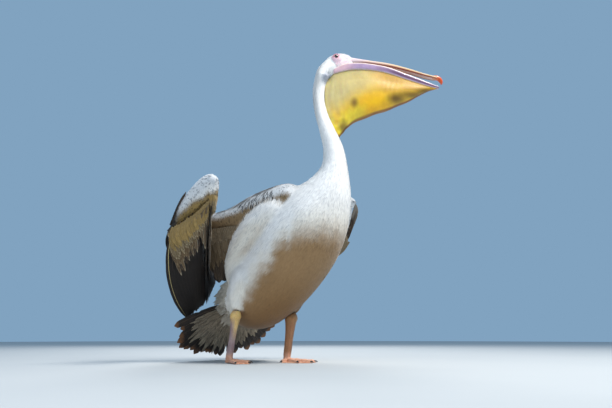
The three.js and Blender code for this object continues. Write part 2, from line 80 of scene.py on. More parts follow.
# Side of the body from shoulder to thigh: x (mirrored for the right), y, z, radius.
FLANK = [
    (58, -262, 588, 20), (88, -214, 604, 62), (110, -84, 526, 73),
    (108, 10, 430, 63), (94, 50, 334, 46), (62, 70, 262, 16),
]
NAPE = [(0, -342, 1100, 26), (6, -354, 1146, 29), (34, -374, 1186, 31)]
THIGHS = {
    RIGHT: [(-62, -46, 396, 46), (-88, -34, 330, 86), (-118, -4, 258, 58), (-138, -6, 202, 25)],
    LEFT: [(60, -66, 386, 46), (86, -76, 320, 86), (76, -102, 246, 58), (63, -112, 196, 25)],
}
# The head's middle between the eyes. Head stations are u forward, v left, w up from there.
HEAD_MIDDLE = (47, -385, 1209)
HEAD_SCALE = 1.03
HEAD_TURN = -45
BILL_DIP = -2.4
SKULL = [  # u, top, bottom, half width
    (-66, -38, -62, 12), (-52, -14, -80, 24), (-30, 9, -84, 30), (0, 22, -76, 32),
    (28, 24, -68, 30), (52, 16, -60, 25), (72, 6, -34, 19),
]
MAXILLA = [
    (40, 13, -27, 20), (76, 4, -27, 19), (132, -9, -33, 18), (211, -25, -49, 16.5),
    (290, -52, -73, 17), (350, -77, -93, 18), (385, -88, -101, 15),
]
# One side of the lower jaw: u, w, v from the middle, half height, half thickness.
RAMUS = [
    (-14, -60, 24, 10, 7), (30, -47, 29, 15, 7), (80, -45, 33, 14, 6.5), (140, -54, 36, 13, 6),
    (200, -69, 35, 13, 6), (260, -92, 30, 12, 5.5), (320, -113, 21, 10, 5), (370, -129, 11, 7, 5),
    (398, -136, 3, 4, 5),
]
POUCH = [  # u, top, bottom, half width
    (-52, -84, -262, 15), (-30, -74, -306, 22), (-8, -66, -322, 27), (20, -60, -294, 34),
    (60, -58, -264, 41), (120, -64, -241, 45), (190, -80, -219, 43), (250, -103, -197, 36),
    (310, -122, -169, 25), (360, -133, -145, 13), (386, -136, -140, 6),
]
BILL_ROOT_HEIGHT = -10  # the middle of the upper bill where it leaves the face
EYE_OUT = 26
EYE_RADIUS = 9
EYE_OPENING = 7
# Toes of each foot: the heel's place, its heading in degrees, and each toe's angle and length.
FEET = {RIGHT: ((-154, 12), 268), LEFT: ((54, -98), 285)}
TOES = {"hind": (86, 48), "inner": (31, 92), "middle": (4, 122), "outer": (-24, 118)}
CLAW_LENGTH = 15
# Wings: joints, the tips that the flight feathers reach, and the chord of the hand.
WINGS = {
    RIGHT: dict(
        shoulder=(-112, -216, 622), elbow=(-268, 92, 574), wrist=(-432, -196, 640),
        finger=(-484, -36, 500), tip=(-196, 258, 184), inner_tip=(-106, 250, 232),
        elbow_tip=(-128, 138, 322), chord=232,
    ),
    LEFT: dict(
        shoulder=(112, -216, 622), elbow=(250, 96, 560), wrist=(352, -204, 668),
        finger=(420, -96, 528), tip=(186, 266, 190), inner_tip=(104, 254, 236),
        elbow_tip=(130, 140, 322), chord=205,
    ),
}
TAIL_ROOT = (0, 176, 250)
TAIL_SLOPE = 58
TAIL_LENGTH = 285
TAIL_FAN = 76
TAIL_DROOP = 34
TAIL_COVERTS = [(-20, 50, 44), (50, 72, 36), (92, 84, 21), (122, 84, 9), (138, 70, 3)]

SIDE_NAMES = {RIGHT: "r", LEFT: "l"}
SKIN_VOXEL = 5.8
LEG_VOXEL = 1.7


# ---- Numbers and curves ----

def vec(*numbers):
    return np.array(numbers, float)


def unit(v):
    return v / np.maximum(np.linalg.norm(v, axis=-1, keepdims=True), 1e-9)


def smooth(low, high, x):
    """0 below low, 1 above high, smooth between; high may be the lower of the two."""
    t = np.clip((x - low) / (high - low), 0, 1)
    return t * t * (3 - 2 * t)


def through(rows, steps, places=3):
    """Rows of numbers smoothed into steps + 1 rows; the first columns are the places that pace it."""
    rows = np.asarray(rows, float)
    ends = np.vstack([2 * rows[0] - rows[1], rows, 2 * rows[-1] - rows[-2]])
    gaps = np.sqrt(np.linalg.norm(np.diff(ends[:, :places], axis=0), axis=1))
    made = []
    for at in np.linspace(0, len(rows) - 1, steps + 1):
        i = min(int(at), len(rows) - 2)
        t = at - i
        p0, p1, p2, p3 = ends[i : i + 4]
        d0, d1, d2 = gaps[i : i + 3]
        m1 = ((p1 - p0) / d0 - (p2 - p0) / (d0 + d1) + (p2 - p1) / d1) * d1
        m2 = ((p2 - p1) / d1 - (p3 - p1) / (d1 + d2) + (p3 - p2) / d2) * d1
        bend = (2 * p1 - 2 * p2 + m1 + m2) * t**3 + (3 * p2 - 3 * p1 - 2 * m1 - m2) * t**2
        made.append(bend + m1 * t + p1)
    return np.array(made)


def profile(rows, steps):
    """Rows of u, top, bottom and half width as smooth stations: place, half width, half height."""
    stations = [(u, 0, (top + bottom) / 2, half, (top - bottom) / 2) for u, top, bottom, half in rows]
    return through(stations, steps)


def bell(x, width):
    return np.exp(-((x / width) ** 2))


def rgb(code):
    """A hex colour as linear red, green and blue."""
    s = np.array([int(code[i : i + 2], 16) for i in (1, 3, 5)]) / 255
    return np.where(s <= 0.04045, s / 12.92, ((s + 0.055) / 1.055) ** 2.4)


def mix(a, b, amount):
    amount = np.asarray(amount)[..., None]
    return a * (1 - amount) + b * amount


HEAD_PLACE = (
    Matrix.Translation(Vector(HEAD_MIDDLE))
    @ Matrix.Rotation(math.radians(HEAD_TURN), 4, "Z")
    @ Matrix.Rotation(math.radians(BILL_DIP), 4, "Y")
    @ Matrix.Scale(HEAD_SCALE, 4)
)
HEAD_AXES = np.array(HEAD_PLACE.to_3x3())
HEAD_BACK = np.linalg.inv(HEAD_AXES)


def in_head(points):
    """Head stations (u, v, w) as plan points."""
    return np.asarray(points, float) @ HEAD_AXES.T + HEAD_MIDDLE


def head_of(points):
    """Plan points as head stations (u, v, w)."""
    return (points - np.array(HEAD_MIDDLE)) @ HEAD_BACK.T


slope = math.radians(TAIL_SLOPE)
TAIL_WAY = vec(0, math.cos(slope), -math.sin(slope))
TAIL_OVER = vec(0, math.sin(slope), math.cos(slope))


def tail_point(angle, distance, height):
    """A point of the fanned tail: angle from its middle in radians, distance and height over it."""
    aside = np.sin(angle) * distance
    drop = TAIL_DROOP * (abs(aside) / TAIL_LENGTH) ** 2
    place = vec(*TAIL_ROOT) + vec(aside, 0, -drop)
    return place + TAIL_WAY * np.cos(angle) * distance + TAIL_OVER * height


# ---- Meshes ----

def grid_quads(rows, around, closed=True):
    """Faces between rows of points, each row after the one before; closed joins a row's two ends."""
    i, j = np.meshgrid(np.arange(rows - 1), np.arange(around if closed else around - 1), indexing="ij")
    a, b = (i * around + j).ravel(), (i * around + (j + 1) % around).ravel()
    return np.stack([a, b, b + around, a + around], 1)


def mesh_object(name, points, faces):
    """An object at the origin from plan points and arrays of faces, one for each number of corners."""
    mesh = bpy.data.meshes.new(name)
    mesh.vertices.add(len(points))
    mesh.vertices.foreach_set("co", ((points + PLAN_SHIFT) * MM).astype(np.float32).ravel())
    corners = np.concatenate([f.ravel() for f in faces])
    sizes = np.concatenate([np.full(len(f), f.shape[1]) for f in faces])
    mesh.loops.add(len(corners))
    mesh.loops.foreach_set("vertex_index", corners.astype(np.int32))
    mesh.polygons.add(len(sizes))
    starts = np.concatenate([[0], np.cumsum(sizes)[:-1]])
    mesh.polygons.foreach_set("loop_start", starts.astype(np.int32))
    mesh.update(calc_edges=True)
    mesh.shade_smooth()
    made = bpy.data.objects.new(name, mesh)
    bpy.context.collection.objects.link(made)
    return made


def numbers_of(data, field):
    """A field of a mesh as rows of three numbers."""
    numbers = np.empty(len(data) * 3, np.float32)
    data.foreach_get(field, numbers)
    return numbers.reshape(-1, 3).astype(float)


def plan_points(obj):
    """The object's vertices as plan points."""
    return numbers_of(obj.data.vertices, "co") / MM - PLAN_SHIFT


def move_points(obj, points):
    obj.data.vertices.foreach_set("co", ((points + PLAN_SHIFT) * MM).astype(np.float32).ravel())
    obj.data.update()


def normals_of(obj):
    return numbers_of(obj.data.vertex_normals, "vector")


def give(obj, name, kind, values):
    """A named colour, vector or number at each vertex."""
    layer = obj.data.attributes.new(name, kind, "POINT")
    if kind == "FLOAT_COLOR":
        values = np.column_stack([values, np.ones(len(values))])  # opaque
    field = {"FLOAT_COLOR": "color", "FLOAT_VECTOR": "vector", "FLOAT": "value"}[kind]
    layer.data.foreach_set(field, np.asarray(values, np.float32).ravel())


def set_uv(obj, name, uv):
    """A UV map from one pair of numbers per vertex."""
    corners = np.empty(len(obj.data.loops), np.int32)
    obj.data.loops.foreach_get("vertex_index", corners)
    obj.data.uv_layers.new(name=name).data.foreach_set("uv", uv[corners].astype(np.float32).ravel())


def neighbours_mean(values, edges, counts):
    a, b = edges.T
    total = np.empty_like(values)
    for k, column in enumerate(values.T):
        total[:, k] = np.bincount(a, column[b], len(values)) + np.bincount(b, column[a], len(values))
    return total / counts[:, None]


def edges_of(obj):
    edges = np.empty(len(obj.data.edges) * 2, np.int32)
    obj.data.edges.foreach_get("vertices", edges)
    edges = edges.reshape(-1, 2)
    counts = np.bincount(edges.ravel(), minlength=len(obj.data.vertices)).astype(float)
    return edges, np.maximum(counts, 1)


def only(*objects):
    """Selects these objects and no others; the first is the active one."""
    bpy.ops.object.select_all(action="DESELECT")
    for obj in objects:
        obj.select_set(True)
    bpy.context.view_layer.objects.active = objects[0]


def apply(obj, kind, **settings):
    only(obj)
    modifier = obj.modifiers.new(kind.title(), kind)
    for key, value in settings.items():
        setattr(modifier, key, value)
    bpy.ops.object.modifier_apply(modifier=modifier.name)


def finish_piece(obj, material, slot, *nodes):
    """Every piece is still: it rides on the one body and may stand for CAD nodes."""
    obj.data.materials.append(material)
    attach(obj, "root")
    if nodes:
        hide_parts(*nodes)


# ---- The skin: smooth forms joined into one shell ----

def ringed(centres, first, second, around=48):
    """Oval rings: centres plus cos times the first half axes plus sin times the second."""
    a = np.linspace(0, 2 * math.pi, around, endpoint=False)
    return centres[:, None] + np.cos(a)[:, None] * first[:, None] + np.sin(a)[:, None] * second[:, None]


def trunk_rings():
    rows = through(SPINE, 110)
    along = unit(np.gradient(rows[:, :3], axis=0))
    back = unit(np.cross(vec(1, 0, 0), along))
    return ringed(rows[:, :3], rows[:, 3:4] * vec(1, 0, 0), -rows[:, 4:5] * back, 64)


def tube_rings(rows, steps=30):
    rows = through(rows, steps)
    along = unit(np.gradient(rows[:, :3], axis=0))
    aside = unit(np.cross(along, vec(0.31, 0.2, 0.93)))
    return ringed(rows[:, :3], rows[:, 3:4] * aside, rows[:, 3:4] * unit(np.cross(aside, along)))


def skull_rings():
    rows = profile(SKULL, 40)
    axes = HEAD_AXES.T
    return ringed(in_head(rows[:, :3]), rows[:, 3:4] * axes[1], rows[:, 4:5] * axes[2])


def tail_rings():
    a = np.linspace(0, 2 * math.pi, 40, endpoint=False)
    rings = []
    for distance, half, thick in through([(d, 0, 0, h, t) for d, h, t in TAIL_COVERTS], 24)[:, [0, 3, 4]]:
        ring = []
        for angle in a:
            aside = half * math.cos(angle)
            back = distance - 0.28 * aside * aside / 138
            fan = math.atan2(aside, max(back, 1))
            ring.append(tail_point(fan, math.hypot(aside, back), thick * math.sin(angle)))
        rings.append(ring)
    return np.array(rings)


# The section of a covert-clad arm: shares of the chord, and half thickness there.
ARM_CHORD = [0, 0.02, 0.06, 0.14, 0.3, 0.5, 0.75, 1]
ARM_HALF = [0, 0.17, 0.29, 0.39, 0.42, 0.37, 0.2, 0.04]


def arm_section(chord, thick):
    """Chordwise distance and height, from the leading edge round one face and back along the other."""
    a = np.linspace(0, 2 * math.pi, 36, endpoint=False)
    x = (1 - np.cos(a)) / 2
    half = np.interp(x, ARM_CHORD, ARM_HALF)
    return chord * x, thick * half * np.sign(np.sin(a) + 1e-9)


def wing_ways(side):
    joints = {key: np.array(value, float) for key, value in WINGS[side].items() if key != "chord"}
    return (
        joints,
        unit(joints["tip"] - joints["finger"]),
        unit(joints["inner_tip"] - joints["wrist"]),
        unit(joints["elbow_tip"] - joints["elbow"]),
    )


def arm_stations(side):
    """Stations of upper arm, forearm and hand: place, lie of the feathers, chord, thickness."""
    j, primary_way, wrist_way, elbow_way = wing_ways(side)
    chord = WINGS[side]["chord"]
    shoulder, elbow, wrist, finger = j["shoulder"], j["elbow"], j["wrist"], j["finger"]

    def upper(t, high):
        place = shoulder + (elbow - shoulder) * t
        place[2] = high
        return place

    return {
        "upper_arm": [
            (shoulder + vec(-54 * side, -84, 30), elbow_way, 90, 74),
            (shoulder + vec(-14 * side, -50, 66), elbow_way, 160, 118),
            (upper(0.28, shoulder[2] + 38), elbow_way, 165, 98),
            (upper(0.65, elbow[2] + 30), elbow_way, 150, 54),
            (elbow + vec(0, 12, 18), elbow_way, 130, 36),
        ],
        "forearm": [
            (elbow + vec(-18 * side, 4, 16), elbow_way, 150, 38),
            ((elbow + wrist) / 2 + vec(0, 0, 22), wrist_way, 185, 44),
            (wrist + vec(0, 0, 30), wrist_way, 190, 70),
        ],
        "hand": [
            (wrist + vec(-14 * side, -34, 18), wrist_way, chord * 0.72, 44),
            (wrist + vec(0, -6, 36), wrist_way, chord * 0.96, 84),
            ((wrist + finger) / 2 + vec(20 * side, 4, 26), primary_way, chord, 60),
            (finger, primary_way, chord * 0.7, 26),
            (finger + 20 * unit(finger - wrist), primary_way, chord * 0.4, 8),
        ],
    }


def arm_rings(stations):
    rows = through([(*place, *lie, chord, thick) for place, lie, chord, thick in stations], 34)
    ahead = np.gradient(rows[:, :3], axis=0)
    lie = unit(rows[:, 3:6])
    up = unit(np.cross(lie, ahead))
    rings = []
    for place, way, over, (chord, thick) in zip(rows[:, :3], lie, up, rows[:, 6:8]):
        x, y = arm_section(chord, thick)
        rings.append(place + x[:, None] * way + y[:, None] * over)
    return np.array(rings)


def flesh_forms():
    """Every soft form under the coat, by name, as rings."""
    forms = {"trunk": trunk_rings(), "nape": tube_rings(NAPE), "skull": skull_rings(), "tail": tail_rings()}
    for side, name in SIDE_NAMES.items():
        forms[f"flank_{name}"] = tube_rings([(side * x, y, z, r) for x, y, z, r in FLANK])
        forms[f"thigh_{name}"] = tube_rings(THIGHS[side])
        for part, stations in arm_stations(side).items():
            forms[f"{part}_{name}"] = arm_rings(stations)
    return forms


class Lofts:
    """All the forms as one set of quads that remembers each quad's form, ring and place around it."""

    def __init__(self, forms):
        self.names = list(forms)
        points, quads, fans, owner, ring, turn, shape = [], [], [], [], [], [], []
        base = 0
        for k, rings in enumerate(forms.values()):
            count, around = rings.shape[:2]
            points += [rings.reshape(-1, 3), rings[:1].mean(1), rings[-1:].mean(1)]
            quads.append(base + grid_quads(count, around))
            j = np.arange(around)
            middle = count * around
            for first, middle, way in ((0, middle, 1), (middle - around, middle + 1, -1)):
                fan = np.stack([np.full(around, middle), first + (j + 1) % around, first + j], 1)
                fans.append(base + fan[:, ::way])
            owner.append(np.full(len(quads[-1]), k))
            ring.append(np.repeat(np.arange(count - 1), around))
            turn.append(np.tile(j, count - 1))
            shape.append((count - 1, around))
            base += count * around + 2
        self.points, self.quads, self.fans = (np.vstack(x) for x in (points, quads, fans))
        self.owner, self.ring, self.turn = (np.concatenate(x) for x in (owner, ring, turn))
        self.shape = np.array(shape, float)
        self.tree = BVHTree.FromPolygons(self.points.tolist(), self.quads.tolist())

    def locate(self, points):
        """For each point: its form's number, and how far along (0 to 1) and around (0 to 1) it lies."""
        near = np.array([self.tree.find_nearest(p)[2] for p in points.tolist()])
        a, b, _, d = (self.points[self.quads[near, k]] for k in range(4))
        along = ((points - a) * (d - a)).sum(1) / np.maximum(((d - a) ** 2).sum(1), 1e-6)
        aside = ((points - a) * (b - a)).sum(1) / np.maximum(((b - a) ** 2).sum(1), 1e-6)
        form = self.owner[near]
        s = (self.ring[near] + np.clip(along, 0, 1)) / self.shape[form, 0]
        t = (self.turn[near] + np.clip(aside, 0, 1)) / self.shape[form, 1]
        return form, s, t


def remeshed(obj, voxel):
    only(obj)
    obj.data.remesh_voxel_size = voxel * MM
    obj.data.remesh_voxel_adaptivity = 0
    bpy.ops.object.voxel_remesh()


def keep_largest(obj):
    """Deletes all but the largest shell."""
    mesh = bmesh.new()
    mesh.from_mesh(obj.data)
    left = set(mesh.verts)
    shells = []
    while left:
        stack = [left.pop()]
        shell = set(stack)
        while stack:
            for edge in stack.pop().link_edges:
                for vert in edge.verts:
                    if vert in left:
                        left.discard(vert)
                        shell.add(vert)
                        stack.append(vert)
        shells.append(shell)
    best = max(shells, key=len)
    rest = [vert for shell in shells if shell is not best for vert in shell]
    bmesh.ops.delete(mesh, geom=rest, context="VERTS")
    mesh.to_mesh(obj.data)
    mesh.free()


def near_eye(points):
    """Distance from the nearer eye's axis, measured across the face in head units."""
    u, v, w = head_of(points).T
    return np.hypot(u, w), np.abs(v)


FINER_REACHES = (120, 74)  # the faces within each reach of the head's middle are split once more
lofts = Lofts(flesh_forms())


def make_skin():
    skin = mesh_object("skin", lofts.points, [lofts.quads, lofts.fans])
    remeshed(skin, SKIN_VOXEL)
    keep_largest(skin)
    only(skin)
    for reach in FINER_REACHES:
        u, _, w = head_of(plan_points(skin)).T
        close = (np.abs(u) < reach) & (np.abs(w + 20) < reach)
        bpy.ops.object.mode_set(mode="EDIT")
        bpy.ops.mesh.select_mode(type="FACE")
        bpy.ops.mesh.select_all(action="DESELECT")
        bpy.ops.object.mode_set(mode="OBJECT")
        for polygon in skin.data.polygons:
            polygon.select = all(close[i] for i in polygon.vertices)
        bpy.ops.object.mode_set(mode="EDIT")
        bpy.ops.mesh.subdivide(number_cuts=1, smoothness=0)
        bpy.ops.object.mode_set(mode="OBJECT")
    return skin


# How far the skin lies under the tips of the coat, by form.
BODY_DEPTH = 6
NECK_DEPTH = 3
WING_DEPTH = 5
COAT_DEPTH = {"flank": BODY_DEPTH, "nape": NECK_DEPTH, "skull": 1.6, "thigh": BODY_DEPTH, "tail": 4}
NECK_START = 0.6  # of the way along the trunk's form, where the neck begins
# Rounds of smoothing behind the skull, of the body with them, and of every join at the start.
STEP_ROUNDS, BODY_ROUNDS, JOIN_ROUNDS = 44, 12, 4


def form_is(form, *starts):
    """Which points lie on the forms whose names start so."""
    wanted = [k for k, name in enumerate(lofts.names) if name.startswith(starts)]
    return np.isin(form, wanted)


def is_bare(points):
    """How bare the face is, 0 to 1: round the eye and forward to the bill, narrowing to the gape."""
    u, v, w = head_of(points).T
    behind = -19 + 0.55 * np.maximum(-w - 8, 0) + 0.9 * np.maximum(w - 4, 0)
    top = 15 - 0.1 * u - 9 * smooth(16, 6, np.abs(v)) * smooth(10, 40, u)
    return smooth(behind - 3, behind + 3, u) * smooth(top + 3, top - 3, w) * smooth(-70, -64, w)


def sculpt_skin(skin):
    """Smooths the joined forms, sinks them under the coat and shapes the sockets of the eyes.
    Gives back where each point lies on the forms."""
    points = plan_points(skin)
    edges, counts = edges_of(skin)
    form, s, t = lofts.locate(points)
    body = form_is(form, "trunk", "flank", "thigh") & ~(form_is(form, "trunk") & (s > 0.5))
    body |= form_is(form, "upper", "tail")
    body = neighbours_mean(body[:, None].astype(float), edges, counts)
    body = neighbours_mean(body, edges, counts)
    # The step where the back of the skull stands over the neck takes the most smoothing.
    step = head_of(points) - vec(-46, 0, -78)
    step = smooth(62, 26, np.linalg.norm(step * vec(1, 0.8, 0.8), axis=1))[:, None]
    for i in range(STEP_ROUNDS):
        amount = step
        if i < BODY_ROUNDS:
            amount = np.maximum(step, body if i >= JOIN_ROUNDS else np.maximum(body, 0.7))
        points += (neighbours_mean(points, edges, counts) - points) * 0.5 * amount
    move_points(skin, points)
    depth = np.full(len(points), float(WING_DEPTH))
    for name, value in COAT_DEPTH.items():
        depth[form_is(form, name)] = value
    trunk = form_is(form, "trunk")
    depth[trunk] = (BODY_DEPTH + (NECK_DEPTH - BODY_DEPTH) * smooth(0.5, 0.66, s))[trunk]
    depth *= 1 - is_bare(points)
    depth = depth[:, None]
    for _ in range(8):
        depth = neighbours_mean(depth, edges, counts)
    points -= normals_of(skin) * depth
    # The face fills out round each eye, with a socket under the ball.
    across, out = near_eye(points)
    u, v, w = head_of(points).T
    fill = 5.4 * smooth(30, 9, across) * smooth(12, 22, out)
    socket = -7 * smooth(8.4, 6.2, across) * (out > 14)
    outwards = HEAD_AXES[:, 1] / HEAD_SCALE
    points += outwards * (np.sign(v) * (fill + socket))[:, None]
    # The cheek swells over the jaw and dips in front of the eye.
    lore = -2.2 * smooth(14, 0, np.hypot(u - 34, w + 6)) + 1.6 * smooth(26, 4, np.hypot(u + 24, w + 40))
    points += outwards * (np.sign(v) * lore * (out > 12))[:, None]
    # In front the skin narrows until it runs in under the horn of the bill.
    own = head_of(points)
    tuck = smooth(48, 71, own[:, 0]) * smooth(130, 100, np.abs(own).sum(1))
    own[:, 1] *= 1 - 0.32 * tuck
    own[:, 2] = BILL_ROOT_HEIGHT + (own[:, 2] - BILL_ROOT_HEIGHT) * (1 - 0.36 * tuck)
    points = in_head(own)
    move_points(skin, points)
    return form, s, t


# ---- Markings, the same on skin and coat ----

WHITE = rgb("#f6f4f1")
IVORY = rgb("#eee6d6")
# Belly browns: mostly painted shade, partly a stain.
BELLY_SHADE_AND_STAIN = rgb("#9d7748")
BELLY_DEEP_SHADE_AND_STAIN = rgb("#7f5a2c")
JAW_CORNER_GREY = rgb("#64748f")
PALE_GREY = rgb("#cfd1d3")
SPECKLE = rgb("#8b8e92")
UMBER = rgb("#3b2f27")
OCHRE = rgb("#a5874e")
TAN = rgb("#a08a66")
PALE_TAN = rgb("#d3c3a0")
AXILLA = rgb("#8a7254")
DARK_BROWN = rgb("#2e241e")
BLACK_BROWN = rgb("#17110e")
# Grey beige of the tail's base and coverts, partly painted shade over their white.
TAIL_SHADED_BEIGE = rgb("#a89d8b")
FACE_PALE = rgb("#ead9dd")
FACE_PINK = rgb("#dcb3bf")
FACE_BLUE = rgb("#b4b7cc")
FACE_RIM = rgb("#c98d9c")


def marking(points, normals, form, s, t):
    """The colour of the plumage at plan points, from where they lie on the bird."""
    def paint(over, amount):
        return mix(colour, over, amount)

    colour = np.tile(WHITE, (len(points), 1))
    x, y, z = points.T
    down = -normals[:, 2]
    trunk = form_is(form, "trunk", "flank", "thigh")
    # The belly is warm brown, mostly painted shade on the downward-facing underside and partly a stain,
    # deepest in its middle, with a ragged upper border.
    ragged = 0.07 * np.sin(x * 0.11 + 2 * np.sin(y * 0.05)) + 0.05 * np.sin(z * 0.16 + x * 0.07)
    low = down + 0.34 * np.maximum(-normals[:, 1], 0) + ragged
    # Out on the flanks and behind, the plumage stays white.
    flank = smooth(98, 136, np.abs(x) + 0.22 * y + 70 * ragged) * smooth(-0.85, -0.45, -down)
    belly = smooth(0.02, 0.42, low) * smooth(575, 440, z + 90 * ragged) * trunk * (1 - flank)
    # Painted shade: the downward-facing lower trunk turns ivory, then warm brown, darkest in the middle of
    # the belly.
    colour = paint(IVORY, 0.7 * smooth(-0.15, 0.25, low) * smooth(640, 520, z) * trunk)
    colour = paint(BELLY_SHADE_AND_STAIN, 0.95 * belly)
    middle = smooth(210, 40, np.hypot(x, (y + 120) * 0.8)) * smooth(460, 330, z)
    colour = paint(BELLY_DEEP_SHADE_AND_STAIN, 0.75 * belly * middle)
    u, v, w = head_of(points).T
    # A blue-grey patch on the feathers behind the corner of the jaw.
    ear = smooth(27, 9, np.hypot(u + 38, (w + 84) * 0.8)) * (np.abs(v) > 6)
    colour = paint(JAW_CORNER_GREY, 0.75 * ear)
    # The back between the wings: grey shafts.
    back = smooth(0.25, 0.8, normals[:, 2] + 0.5 * normals[:, 1]) * form_is(form, "trunk", "flank")
    colour = paint(SPECKLE, 0.3 * back * smooth(420, 520, z) * smooth(700, 620, z))
    # Wings: t runs from the leading edge round one face of the arm and back along the other.
    arm = form_is(form, "upper", "forearm", "hand")
    hand = form_is(form, "hand")
    chordwise = (1 - np.cos(2 * math.pi * t)) / 2
    under = under_side(normals, form)
    inner = form_is(form, "upper") | (form_is(form, "forearm") & (s < 0.9))
    outer = hand * smooth(0.54, 0.66, s)
    border = 0.27 + 0.015 * np.sin(s * 40) - 0.15 * inner * under
    border = border + hand * (0.03 - 0.24 * smooth(0.1, 0.64, s))
    wing = mix(PALE_GREY, WHITE, smooth(0.0, 0.22, chordwise))
    below = mix(OCHRE, TAN, smooth(0.42, 0.6, chordwise))
    below = mix(below, PALE_TAN, 0.5 * smooth(0.7, 0.95, chordwise))
    below = mix(below, AXILLA, 0.9 * inner)
    above = mix(WHITE, SPECKLE, 0.6 * smooth(0.5, 0.9, chordwise))
    above = mix(above, UMBER, 0.85 * hand * smooth(0.5, 0.8, chordwise))
    # A dark line runs along the top of the upper arm, and a dark edge closes the white of the wrist.
    upper = 0.9 * form_is(form, "upper")
    above = mix(above, UMBER, upper * smooth(0.0, 0.05, chordwise) * smooth(0.42, 0.25, chordwise))
    wing = mix(wing, UMBER, upper * (1 - under) * smooth(0.25, 0.12, chordwise))
    wing = mix(wing, mix(above, below, under), smooth(border - 0.05, border + 0.05, chordwise))
    # Painted shade: a dark umber line on the hand's underside along the border, under the knob of the
    # leading edge.
    shade_under_knob = under * hand * smooth(0.05, 0.0, np.abs(chordwise - border - 0.03))
    wing = mix(wing, UMBER, 0.55 * shade_under_knob)
    wing = mix(wing, BLACK_BROWN, 0.95 * outer * smooth(border + 0.05, border - 0.02, chordwise))
    colour = np.where(arm[:, None], wing, colour)
    # The rump runs from ivory to the grey beige of the tail's base, partly painted shade.
    tail = mix(IVORY, TAIL_SHADED_BEIGE, smooth(0.0, 0.5, s))
    return np.where(form_is(form, "tail")[:, None], tail, colour)


def face_tint(points):
    """The bare face: pale in front, pinker round the eye, a blue cast where it meets the bill."""
    u, _, w = head_of(points).T
    tint = mix(FACE_PALE, FACE_PINK, 0.75 * smooth(34, 12, np.hypot(u, w)))
    tint = mix(tint, FACE_PINK, 0.45 * smooth(4, 14, w) * smooth(60, 20, u))
    tint = mix(tint, FACE_BLUE, 0.5 * smooth(22, 4, np.hypot((u - 46) * 0.6, w + 4)))
    return mix(tint, FACE_RIM, 0.35 * smooth(15, 10, np.hypot(u, w)))


def under_way(side):
    """Roughly where the underside of a half-opened wing faces."""
    return unit(vec(0.3 * side, -1, -0.3))


def under_side(normals, form):
    """How far each point of an arm lies on the wing's underside, 0 to 1."""
    right = form_is(form, "upper_arm_r", "forearm_r", "hand_r")
    facing = np.where(right, normals @ under_way(RIGHT), normals @ under_way(LEFT))
    return smooth(-0.15, 0.15, facing)


# ---- The lie of the coat ----

def along_skin(flow, normals):
    return unit(flow - normals * (flow * normals).sum(1)[:, None])


def lie_of(points, normals, form, s):
    """The way the feathers point at each plan point, along the skin."""
    rows = through(SPINE, 200)
    near = np.abs(points[:, None, 1:] - rows[None, ::4, 1:3]).sum(2).argmin(1) * 4
    along = unit(np.gradient(rows[:, :3], axis=0))
    flow = -along[near]
    # Down the thighs, and back along the tail.
    flow = np.where(form_is(form, "thigh")[:, None], vec(0, 0.35, -0.94), flow)
    from_root = points - vec(*TAIL_ROOT) + vec(0, 60, -60)
    flow = np.where(form_is(form, "tail")[:, None], unit(from_root), flow)
    # Over the head, back from the bill and down to the nape.
    head = smooth(105, 60, np.linalg.norm(points - np.array(HEAD_MIDDLE) + vec(0, 0, 20), axis=1))
    u = head_of(points)[:, 0]
    backward = -HEAD_AXES[:, 0] + HEAD_AXES[:, 2] * (-0.25 - 0.9 * smooth(-20, -60, u))[:, None]
    flow = unit(mix(flow, unit(backward), head))
    for side, name in SIDE_NAMES.items():
        for part, stations in arm_stations(side).items():
            on = form_is(form, f"{part}_{name}")
            ways = np.array([unit(np.array(way)) for _, way, _, _ in stations])
            at = s * (len(ways) - 1)
            low = np.minimum(at.astype(int), len(ways) - 2)
            way = mix(ways[low], ways[low + 1], np.clip(at - low, 0, 1))
            flow = np.where(on[:, None], way, flow)
    return along_skin(flow, normals)


# ---- Feathers over the skin ----

SCATTER_DENSITY = 4.5  # roots thrown for each cell, of which one is kept
CELL_KEYS = (73856093, 19349663, 83492791)


